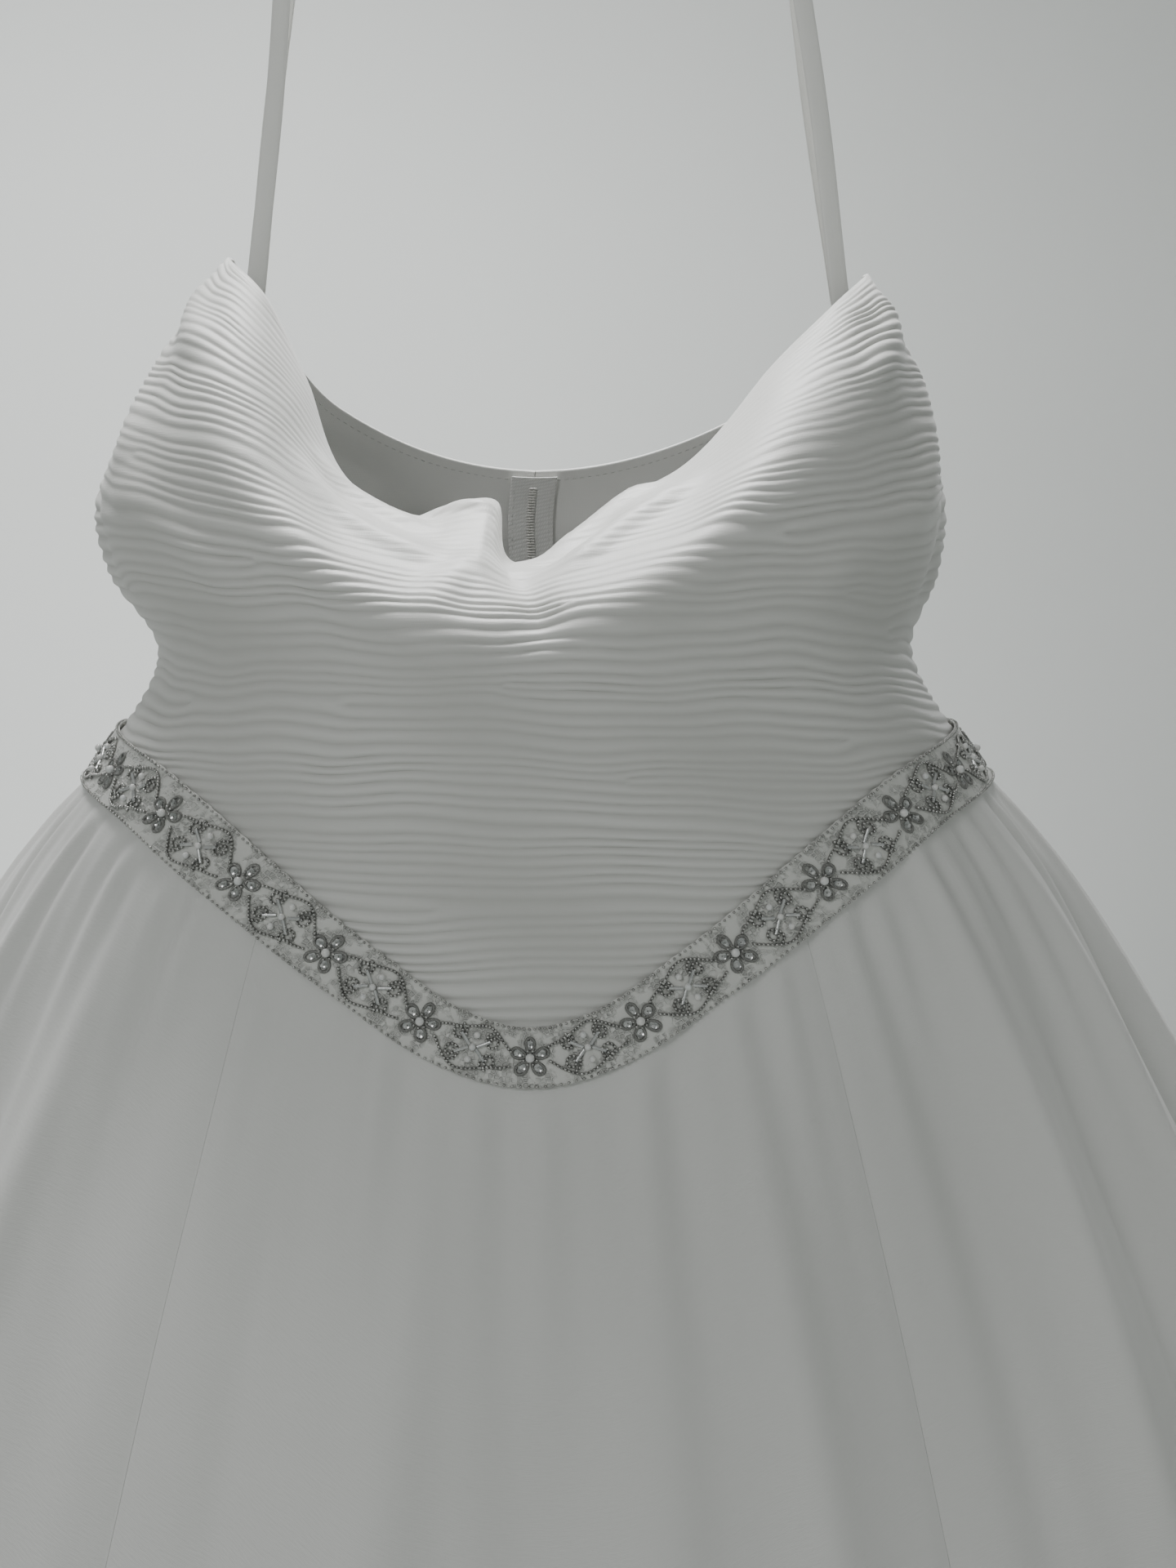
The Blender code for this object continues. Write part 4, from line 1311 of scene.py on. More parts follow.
@dataclass(frozen=True)
class BeadedBand:
    """Beaded lace over the waist seam: flowers joined by scrolling vines, on an embroidered net."""

    form: GownForm
    wardrobe: Wardrobe
    half_width: float = 0.0100
    ground: float = 0.0007
    lift: float = 0.0021
    repeats_front: int = 13
    repeats_back: int = 6
    front_flat: tuple[float, float] = (0.025, 0.48)
    back_flat: tuple[float, float] = (0.022, 0.21)
    column: float = 0.0016
    petals: int = 5
    petal_middle: float = 0.0041
    petal_reach: float = 0.0024
    petal_half_width: float = 0.0015
    cord_radius: float = 0.00042
    seed_radius: float = 0.00062
    seed_pitch: float = 0.00128
    pearl_radius: float = 0.00150
    small_pearl_radius: float = 0.00115
    sequin_radius: float = 0.00145
    bugle_length: float = 0.0048
    bugle_radius: float = 0.00062
    end_scroll: float = 0.0052

    def spans(self) -> dict[str, tuple[float, float, int]]:
        """Return each panel's first and last angle in degrees, and its number of flowers."""
        return {"front": (-90, 90, self.repeats_front), "back_left": (90, 180, self.repeats_back),
                "back_right": (-180, -90, self.repeats_back)}

    def draw_ground(self, name: str, line: WaistLine, start: float, end: float) -> bpy.types.Object:
        """Draw the band's net ground, with scalloped edges.

        Args:
            name: The panel's name.
            line: The waist seam.
            start: Where the panel starts along it.
            end: Where it ends.

        Returns:
            The piece.
        """
        along = np.linspace(start + 0.5 * SEAM_GAP, end - 0.5 * SEAM_GAP, round((end - start) / self.column))
        scallop = self.half_width * (0.965 + 0.035 * np.abs(np.cos(math.pi * (along - start) / 0.0062)))
        shares = np.array([-1, -0.985, -0.93, -0.7, -0.35, 0, 0.35, 0.7, 0.93, 0.985, 1])
        across = scallop[:, None] * shares
        width = rim((1 - np.abs(shares)) * self.half_width, self.ground)
        along = along[:, None] + 0 * shares
        middle = self.lift - 0.5 * self.ground
        wave = 0.00015 * np.sin(900 * along) * np.sin(700 * across)
        draft = MeshDraft()
        draft.add_wall(line.place(along, across, middle + width + wave),
                       line.place(along, across, middle - width + wave),
                       np.stack([along, across], axis=-1))
        piece = draft.finish(f"net_{name}", [self.wardrobe.ground])
        return fix(piece, [f"band_{name}"])

    def vine(self, repeat: float, upper: bool) -> tuple[np.ndarray, np.ndarray]:
        """Return one vine's points along and across, from a flower's middle to the next one's."""
        side = 1.0 if upper else -1.0
        share = np.linspace(0.16, 0.84, 40)
        swing = np.sin(math.pi * (share - 0.16) / 0.68)
        return share * repeat, side * (0.0022 + 0.0052 * swing + 0.0010 * side * np.sin(4 * math.pi * share))

    def scroll(self, middle: float, side: float) -> tuple[np.ndarray, np.ndarray]:
        """Return the points of a curl that branches from a vine."""
        turn = np.linspace(0, 1, 26)
        radius = 0.0029 - 0.0022 * turn
        angle = side * (math.pi / 2 - 3.2 * math.pi * turn * 0.9)
        return middle + radius * np.cos(angle), side * 0.0034 + radius * np.sin(angle)

    def strings(self, flower: float, repeat: float) -> list[tuple[np.ndarray, np.ndarray]]:
        """Return the strings of beads that start at a flower.

        Args:
            flower: Place of the flower along the seam.
            repeat: Distance to the next one.

        Returns:
            Points along and across, string by string.
        """
        made = []
        for upper in (True, False):
            along, across = self.vine(repeat, upper)
            made.append((flower + along, across))
            side = 1.0 if upper else -1.0
            for share in (0.34, 0.66):
                curl_along, curl_across = self.scroll(0.0, side)
                way = 1.0 if share < 0.5 else -1.0
                made.append((flower + share * repeat + way * curl_along, curl_across))
        return made

    def petal(self, flower: float, number: int) -> tuple[np.ndarray, np.ndarray]:
        """Return the points of a petal's outline."""
        turn = np.linspace(0, 2 * math.pi, 16, endpoint=False)
        out = self.petal_middle + self.petal_reach * np.cos(turn)
        wide = self.petal_half_width * np.sin(turn) * (1 + 0.25 * np.cos(turn))
        angle = math.pi / 2 + 2 * math.pi * number / self.petals
        return (flower + out * math.cos(angle) - wide * math.sin(angle),
                out * math.sin(angle) + wide * math.cos(angle))

    def sew_trim(self, name: str, line: WaistLine, start: float, end: float,
                 count: int) -> list[bpy.types.Object]:
        """Sew the cords, beads, pearls and sequins on one panel.

        Args:
            name: The panel's name.
            line: The waist seam.
            start: Where the panel starts along it.
            end: Where it ends.
            count: Number of flowers.

        Returns:
            The pieces.
        """
        repeat = (end - start) / count
        flowers = start + repeat * (np.arange(count) + 0.5)
        cords, seeds, pearls, glitter, bugles = (MeshDraft() for _ in range(5))
        bead, pearl = Shape.bead(), Shape.ball(3)
        strings = [self.scroll(middle, side) for side in (-1.0, 1.0)
                   for middle in (start + self.end_scroll, end - self.end_scroll)]
        for index, flower in enumerate(flowers):
            for number in range(self.petals):
                along, across = self.petal(flower, number)
                path = line.place(along, across, self.lift + 0.8 * self.cord_radius)
                cords.add_tube(path, line.frames(along, across)[:, 2], 1.35 * self.cord_radius, 6,
                               closed=True)
            spread = 2 * math.pi * np.arange(self.petals) / self.petals + math.pi / 2
            along, across = flower + self.petal_middle * np.cos(spread), self.petal_middle * np.sin(spread)
            frames = line.frames(along, across, spread, 0.16 * np.cos(3 * spread + index))
            self.put(glitter, Shape.sequin(), line, along, across, frames, [self.sequin_radius] * 3, 0.0003)
            ring = 2 * math.pi * (np.arange(8) + 0.5) / 8
            self.put(seeds, bead, line, flower + 0.0023 * np.cos(ring), 0.0023 * np.sin(ring), None,
                     [0.9 * self.seed_radius] * 3, self.seed_radius)
            self.put(pearls, pearl, line, np.array([flower]), np.array([0.0]), None, [self.pearl_radius] * 3,
                     0.9 * self.pearl_radius)
            if index == count - 1:
                continue
            strings += self.strings(flower, repeat)
            middle = flower + 0.5 * repeat
            self.put(pearls, pearl, line, np.array([middle, middle, middle]),
                     np.array([0.0, 0.0042, -0.0042]), None,
                     [self.small_pearl_radius] * 3, 0.9 * self.small_pearl_radius)
            cross = np.radians([38, 142, 218, 322])
            reach = self.small_pearl_radius + 0.62 * self.bugle_length
            along, across = middle + reach * np.cos(cross), 0.75 * reach * np.sin(cross)
            frames = line.frames(along, across, cross, 0.10)
            self.put(bugles, Shape.bugle(), line, along, across, frames,
                     [0.5 * self.bugle_length, self.bugle_radius, self.bugle_radius], self.bugle_radius)
        for along, across in strings:
            path = line.place(along, across, self.lift + 0.3 * self.cord_radius)
            cords.add_tube(path, line.frames(along, across)[:, 2], self.cord_radius, 5)
            self.string(seeds, bead, line, along, across)
        for side in (-1, 1):
            edge = np.arange(start + 0.0015, end - 0.001, 1.7 * self.seed_pitch)
            self.put(seeds, bead, line, edge, side * (self.half_width - 0.0006) + 0 * edge, None,
                     [0.85 * self.seed_radius] * 3, 0.7 * self.seed_radius)
        kinds = (("cords", cords, self.wardrobe.cord), ("seed_beads", seeds, self.wardrobe.seed),
                 ("pearls", pearls, self.wardrobe.pearl), ("sequins", glitter, self.wardrobe.sequin),
                 ("bugles", bugles, self.wardrobe.bugle))
        return [fix(draft.finish(f"band_{name}_{kind}", [material]))
                for kind, draft, material in kinds]

    def string(self, draft: MeshDraft, shape: Shape, line: WaistLine, along: np.ndarray,
               across: np.ndarray) -> None:
        """Thread seed beads along a string of points."""
        run = np.concatenate([[0], np.cumsum(np.hypot(np.diff(along), np.diff(across)))])
        places = np.arange(0.4 * self.seed_pitch, run[-1], self.seed_pitch)
        self.put(draft, shape, line, np.interp(places, run, along), np.interp(places, run, across), None,
                 [self.seed_radius] * 3, 1.1 * self.seed_radius)

    def put(self, draft: MeshDraft, shape: Shape, line: WaistLine, along: np.ndarray, across: np.ndarray,
            frames: np.ndarray | None, size: Sequence[float], rise: float) -> None:
        """Put copies of a shape on the band.

        Args:
            draft: Draft that takes them.
            shape: The shape.
            line: The waist seam.
            along: Where each copy is along the seam.
            across: Where it is above the seam.
            frames: Their own directions, or none for the band's.
            size: Their size along them.
            rise: How far their middles stand over the ground.
        """
        if frames is None:
            frames = line.frames(along, across)
        draft.add_copies(shape, line.place(along, across, self.lift + rise), frames,
                         np.tile(size, (len(along), 1)))

    def build(self) -> dict[str, tuple[bpy.types.Object, list[bpy.types.Object]]]:
        """Build the band and its trim.

        Returns:
            Each panel's ground and the pieces on it.
        """
        line = WaistLine(self.form)
        made = {}
        for name, (first, last, count) in self.spans().items():
            start, end = line.distance(first), line.distance(last)
            made[name] = (self.draw_ground(name, line, start, end),
                          self.sew_trim(name, line, start, end, count))
        return made


# ---------------------------------------------------------------- skirt


@dataclass(frozen=True)
class Gore:
    """One gore of the skirt: its angles in degrees, the strengths of its folds, its creases and its cut."""

    name: str
    start: float
    end: float
    folds: tuple[float, ...]
    creases: tuple[Crease, ...]
    cut: Cut

    def mirrored(self) -> "Gore":
        """Return the same gore on the other side of the gown, its creases a little different."""
        creases = tuple(Crease((-item.start[0] + 1.5, item.start[1] + 0.02),
                               (-item.end[0] - 1.5, item.end[1]),
                               item.width, 0.9 * item.depth, -item.bow) for item in self.creases)
        return Gore(self.name.replace("left", "right"), -self.end, -self.start, self.folds[::-1], creases,
                    self.cut)


@dataclass(frozen=True)
class Skirt:
    """Full skirt of seven gores that hang in soft folds, with their seams in the hollows."""

    form: GownForm
    wardrobe: Wardrobe
    cloth: float = 0.0014
    rows: int = 132
    column: float = 0.0058
    fold_depth: float = 0.040
    fold_growth: float = 1.15
    hem_turning: float = 0.018
    hem_rows: tuple[float, ...] = (0.0190, 0.0175, 0.0120, 0.0075, 0.0045, 0.0020, 0.0008, 0.0003, 0.0)
    gather_depth: float = 0.0016
    gores: tuple[Gore, ...] = (
        Gore("front", -26.25, 26.25, (0.85, 1.0, 0.75), (
            Crease((-9, 0.01), (-12, 0.75), 0.017, 0.010), Crease((8, 0.02), (11, 0.90), 0.018, 0.011),
            Crease((-20, 0.0), (-18, 0.50), 0.014, -0.007), Crease((0, 0.03), (1, 0.60), 0.015, -0.006),
            Crease((17, 0.0), (20, 0.45), 0.013, 0.007)), Cut(0.53, 1.07, 0.39)),
        Gore("side_front_left", 26.25, 90, (1.0, 0.8, 1.15, 0.9), (
            Crease((44, 0.0), (37, 0.52), 0.016, 0.013, 0.01), Crease((36, 0.0), (32, 0.40), 0.014, -0.007),
            Crease((53, 0.02), (50, 0.60), 0.018, -0.009), Crease((62, 0.0), (60, 0.40), 0.015, 0.008),
            Crease((71, 0.02), (74, 0.45), 0.016, -0.007), Crease((80, 0.01), (82, 0.80), 0.022, 0.010)),
             Cut(0.61, 1.15, 0.43)),
        Gore("side_back_left", 90, 138.75, (0.95, 1.1, 0.85), (
            Crease((100, 0.01), (98, 0.60), 0.018, 0.010), Crease((115, 0.0), (120, 0.55), 0.017, -0.008),
            Crease((129, 0.02), (131, 0.80), 0.022, 0.010)), Cut(0.42, 1.15, 0.31)),
        Gore("back_left", 138.75, 180, (1.0, 1.1), (
            Crease((149, 0.01), (147, 0.60), 0.018, 0.010), Crease((162, 0.0), (164, 0.50), 0.016, -0.008),
            Crease((172, 0.02), (171, 0.70), 0.018, 0.008)), Cut(0.41, 1.11, 0.31)),
    )

    def fold(self, across: np.ndarray, down: np.ndarray, folds: Sequence[float]) -> np.ndarray:
        """Return how far a gore's folds stand out, at shares of the way across it and down it."""
        place = across * len(folds)
        index = np.minimum(place.astype(int), len(folds) - 1)
        wave = (0.5 - 0.5 * np.cos(2 * math.pi * (place - index))) ** 0.9
        return self.fold_depth * np.asarray(folds)[index] * wave * down ** self.fold_growth

    def surface(self, gore: Gore, angles: np.ndarray, shares: np.ndarray) -> tuple[np.ndarray, np.ndarray]:
        """Find a gore's outer surface.

        Args:
            gore: The gore.
            angles: Its angles, by column.
            shares: Shares of the way from the waist seam to the hem, by row.

        Returns:
            Points, and how far down the cloth each is.
        """
        around = angles[:, None] + 0 * shares
        top = self.form.waist(around) - 0.5 * SEAM_GAP
        height = top + (self.form.hem - top) * shares
        across = ((angles - angles[0]) / (angles[-1] - angles[0]))[:, None] + 0 * shares
        down = top - height
        beside = smooth_step(np.minimum(across, 1 - across), 0.0, 0.09)
        gathers = self.gather_depth * np.exp(-down / 0.10) * smooth_step(down, 0.006, 0.025) * (
            np.sin(52 * around + 9 * down) + 0.7 * np.sin(83 * around - 6 * down + 1.0))
        creases = crease_heights(gore.creases, np.degrees(around), down, 0.30)
        out = self.fold(across, shares + 0 * around, gore.folds) + beside * (gathers + creases)
        normals = self.form.outward(around, height)
        level = unit(normals * np.array([1, 1, 0]))
        radius = np.linalg.norm(np.gradient(self.form.body(around, height), axis=0), axis=2)
        per_angle = radius / np.maximum(np.gradient(angles), 1e-9)[:, None]
        beside_metres = np.minimum(around - angles[0], angles[-1] - around) * per_angle
        dip = -0.0010 * np.exp(-(beside_metres / 0.0032) ** 2)
        return self.form.body(around, height) + level * (out + dip)[..., None], down

    def draw_gore(self, gore: Gore, stitches: MeshDraft) -> bpy.types.Object:
        """Draw a gore and the stitches of its hem.

        Args:
            gore: The gore.
            stitches: Draft that takes the stitches.

        Returns:
            The piece.
        """
        start, end = math.radians(gore.start), math.radians(gore.end)
        columns = round((end - start) * 0.48 / self.column)
        angles = seam_spaced(start, end, columns, 0.30)
        length = -0.5 * (self.form.side_waist + self.form.front_waist[1][1]) + self.form.hem
        even = np.linspace(0, 1, self.rows)
        shares = (0.36 * even + 0.64 * even ** 2) * (1 + self.hem_rows[0] / length)
        shares = np.concatenate([shares, 1 + np.array(self.hem_rows[1:]) / length])[::-1]
        points, down = self.surface(gore, angles, shares)
        normals = sheet_normals(points)
        above_hem = (1 - shares) * -length
        half = rim(above_hem, self.cloth)
        middle = points - normals * (0.5 * self.cloth)
        turning = 0.0009 * smooth_step(above_hem, self.hem_turning + 0.0006, self.hem_turning - 0.0004)
        inner = middle - normals * (half + turning * smooth_step(above_hem, 0.0, 0.002))[None, :, None]
        outer = middle + normals * half[None, :, None]
        flat = np.stack([(angles * 0.45)[:, None] + 0 * down, -down], axis=-1)
        draft = MeshDraft()
        draft.add_wall(outer, inner, flat)
        row = int(np.argmin(np.abs(above_hem - self.hem_turning)))
        sewn = np.stack([np.interp(np.linspace(angles[0], angles[-1], 600), angles, outer[:, row, axis])
                         for axis in range(3)], axis=1)
        facing = np.stack([np.interp(np.linspace(angles[0], angles[-1], 600), angles, normals[:, row, axis])
                           for axis in range(3)], axis=1)
        add_stitches(stitches, sewn, unit(facing), 0.0060, 0.0022, 0.00042)
        piece = draft.finish(f"gore_{gore.name}", [self.wardrobe.skirt, self.wardrobe.lining])
        fix(piece, [f"skirt_{gore.name}"])
        return piece

    def build(self) -> list[bpy.types.Object]:
        """Build the gores and sew the hem.

        Returns:
            The gores.
        """
        stitches = MeshDraft()
        made = []
        for gore in self.gores:
            for item in ([gore] if gore.name == "front" else [gore, gore.mirrored()]):
                made.append(self.draw_gore(item, stitches))
        fix(stitches.finish("hem_stitches", [self.wardrobe.sewing]))
        return made


# ---------------------------------------------------------------- ribbons and hanger


@dataclass(frozen=True)
class Hanger:
    """Plain hanger: a rounded bar that falls to its tips, with a notch for each loop, and a wire hook."""

    wardrobe: Wardrobe
    half_span: float = 0.195
    thickness: float = 0.013
    depth: float = 0.021
    end_depth: float = 0.015
    top: float = -0.072
    drop: float = 0.050
    notch_x: float = 0.082
    notch_half_width: float = 0.0065
    notch_depth: float = 0.0025
    bend_radius: float = 0.0205
    wire_radius: float = 0.0018
    sections: int = 210
    section_points: int = 28

    def sag(self, x: np.ndarray | float) -> np.ndarray | float:
        """Return how far the bar has fallen at a distance from its middle."""
        return self.drop * (np.abs(x) / self.half_span) ** 1.7

    def draw_bar(self) -> bpy.types.Object:
        """Draw the bar through rounded sections.

        Returns:
            The piece.
        """
        turns = np.linspace(0, math.pi, self.sections)
        x = 0.5 * (np.linspace(-self.half_span, self.half_span, self.sections)
                   - self.half_span * np.cos(turns))
        notch = np.maximum(0.0, 1 - ((np.abs(x) - self.notch_x) / self.notch_half_width) ** 2) ** 2
        high = self.top - self.sag(x) - self.notch_depth * notch
        share = (np.abs(x) / self.half_span) ** 1.7
        low = self.top - self.sag(x) - self.depth - (self.end_depth - self.depth) * share
        from_tip = np.clip((self.half_span - np.abs(x)) / (0.45 * self.end_depth), 0, 1)
        keep = np.maximum(np.sqrt(1 - (1 - from_tip) ** 2), 0.02)[:, None]
        around = np.linspace(0, 2 * math.pi, self.section_points, endpoint=False)
        squarish = 0.55
        y = 0.5 * self.thickness * keep * np.sign(np.cos(around)) * np.abs(np.cos(around)) ** squarish
        z = (0.5 * (high + low)[:, None] + 0.5 * (high - low)[:, None] * keep
             * np.sign(np.sin(around)) * np.abs(np.sin(around)) ** squarish)
        points = np.stack([x[:, None] + 0 * y, y, z], axis=-1)
        draft = MeshDraft()
        numbers = draft.add_points(points)
        draft.add_grid(np.concatenate([numbers, numbers[:, :1]], axis=1))
        draft.faces += [numbers[0][::-1].tolist(), numbers[-1].tolist()]
        draft.sides += [0, 0]
        return fix(draft.finish("moulded_bar", [self.wardrobe.plastic]), ["hanger_bar"])

    def draw_hook(self) -> bpy.types.Object:
        """Draw the wire hook, with its round tip and a collar where it enters the bar.

        Returns:
            The piece.
        """
        centre = self.wire_radius - self.bend_radius
        bend = np.radians(np.linspace(200, -38, 60))
        arc = np.stack([self.bend_radius * np.cos(bend), centre + self.bend_radius * np.sin(bend)], axis=1)
        neck = centre - self.bend_radius - 0.008
        last = arc[-1]
        knots = ((0.0, last[0], last[1]), (0.3, 0.0108, neck + 0.0092), (0.62, 0.0028, neck + 0.0015),
                 (1.0, 0.0, neck - 0.010), (1.5, 0.0, self.top - 0.002))
        along = np.linspace(0, 1.5, 40)[1:]
        stem = np.stack([through(knots, along, 1), through(knots, along, 2)], axis=1)
        route = np.concatenate([arc, stem])
        tip = np.linspace(0, 1, 6)
        radius = np.full(len(route), self.wire_radius)
        radius[:6] = self.wire_radius * np.maximum(np.sqrt(1 - (1 - tip) ** 2), 0.1)
        path = np.stack([route[:, 0], 0 * route[:, 0], route[:, 1]], axis=1)
        draft = MeshDraft()
        draft.add_tube(path, np.tile([0.0, 1.0, 0.0], (len(path), 1)), radius, 16)
        collar = np.array([[0, 0, self.top + height] for height in (-0.002, 0.0012, 0.0026, 0.0032)])
        draft.add_tube(collar, np.tile([0.0, 1.0, 0.0], (4, 1)), np.array([0.0046, 0.0046, 0.0038, 0.0022]),
                       24)
        return fix(draft.finish("bent_wire_hook", [self.wardrobe.wire]), ["hanger_hook"])

    def build(self) -> list[bpy.types.Object]:
        """Build the bar and the hook.

        Returns:
            The pieces.
        """
        return [self.draw_bar(), self.draw_hook()]


@dataclass(frozen=True)
class Ribbons:
    """Two satin ribbon loops, sewn inside the side seams and laid over the hanger's notches."""

    form: GownForm
    wardrobe: Wardrobe
    hanger: Hanger
    width: float = 0.007
    cloth: float = 0.0006
    side_gap: float = 0.0009
    crown: float = 0.0046
    seat: float = 0.0010
    tail: float = 0.016
    tail_half_width: float = 0.0009
    inset: float = 0.0094
    twist: float = math.radians(9)
    drift: float = 0.0012

    def draw(self, side: Side) -> bpy.types.Object:
        """Draw one loop.

        Args:
            side: Which of the two.

        Returns:
            The piece.
        """
        angle = np.array(side.value * math.pi / 2)
        edge = self.form.body(angle, self.form.edge(angle))
        low = np.array([edge[0] - side.value * self.inset, 0.0, edge[2] - self.tail])
        notch = self.hanger.top - self.hanger.sag(self.hanger.notch_x) - self.hanger.notch_depth
        high = np.array([side.value * self.hanger.notch_x, 0.0, notch - self.seat])
        length = float(np.linalg.norm(high - low))
        rise = (high - low) / length
        broad = np.cross([0.0, 1.0, 0.0], rise)
        half_width = 0.5 * self.hanger.thickness + self.side_gap + 0.5 * self.cloth
        ply = np.linspace(0, 1, 90)
        across = -self.tail_half_width + (self.tail_half_width - half_width) * ply
        across = across - 0.0010 * np.sin(math.pi * ply) * ply
        turn = np.linspace(math.pi, 0, 26)[1:-1]
        over = half_width * np.sign(np.cos(turn)) * np.sqrt(np.abs(np.cos(turn)))
        depth = np.concatenate([across, over, -across[::-1]])
        height = np.concatenate([(ply - 1) * length, (self.crown + 0.5 * self.cloth) * np.sqrt(np.sin(turn)),
                                 (ply[::-1] - 1) * length])
        middle = high + depth[:, None] * np.array([0.0, 1.0, 0.0]) + height[:, None] * rise
        share = np.concatenate([ply, np.ones(len(over)), ply[::-1]])
        way = np.concatenate([ply * 0 + 1, np.ones(len(over)), ply * 0 - 0.8])
        sway = self.drift * way * np.sin(2 * math.pi * share) * np.sin(math.pi * share)
        twist = self.twist * way * np.sin(math.pi * share) ** 2
        ahead = unit(np.gradient(middle, axis=0))
        middle = middle + sway[:, None] * broad
        facing = unit(np.cross(np.tile(broad, (len(middle), 1)), ahead))
        wide = np.cos(twist)[:, None] * broad + np.sin(twist)[:, None] * facing
        facing = unit(np.cross(wide, ahead))
        place = np.linspace(-1, 1, 11)
        cup = 0.0003 * (1 - place ** 2)
        sheet = (middle[:, None] + 0.5 * self.width * place[None, :, None] * wide[:, None]
                 + cup[None, :, None] * facing[:, None])
        half = rim(0.5 * self.width * (1 - np.abs(place)), self.cloth)[None, :, None]
        run = np.concatenate([[0], np.cumsum(np.linalg.norm(np.diff(middle, axis=0), axis=1))])
        flat = np.stack([run[:, None] + 0 * place, 0 * run[:, None] + 0.5 * self.width * (1 + place)],
                        axis=-1)
        draft = MeshDraft()
        draft.add_wall(sheet - facing[:, None] * half, sheet + facing[:, None] * half, flat)
        name = side.name.lower()
        return fix(draft.finish(f"ribbon_{name}", [self.wardrobe.ribbon]), [f"loop_{name}"])

    def build(self) -> list[bpy.types.Object]:
        """Build both loops.

        Returns:
            The pieces.
        """
        return [self.draw(side) for side in Side]


# ---------------------------------------------------------------- zip


def plate(outlines: Sequence[Sequence[tuple[float, float]]], thickness: float, edge: float) -> Shape:
    """Cut a flat plate with rounded edges.

    Args:
        outlines: Closed outlines in X and Y, the later ones holes.
        thickness: The plate's thickness, along Z.
        edge: Radius of its edges.

    Returns:
        The plate.
    """
    curve = bpy.data.curves.new("outline", "CURVE")
    curve.dimensions, curve.fill_mode = "2D", "BOTH"
    curve.extrude, curve.offset = 0.5 * thickness - edge, -edge
    curve.bevel_depth, curve.bevel_resolution = edge, 2
    for outline in outlines:
        spline = curve.splines.new("POLY")
        spline.points.add(len(outline) - 1)
        for point, (x, y) in zip(spline.points, outline):
            point.co = (x, y, 0, 1)
        spline.use_cyclic_u = True
    holder = bpy.data.objects.new("outline", curve)
    bpy.context.scene.collection.objects.link(holder)
    bpy.context.view_layer.update()
    work = bmesh.new()
    work.from_mesh(bpy.data.meshes.new_from_object(holder.evaluated_get(bpy.context.evaluated_depsgraph_get())))
    bpy.data.objects.remove(holder)
    bmesh.ops.remove_doubles(work, verts=work.verts, dist=0.000005)
    bmesh.ops.recalc_face_normals(work, faces=work.faces)
    return Shape.taken(work)


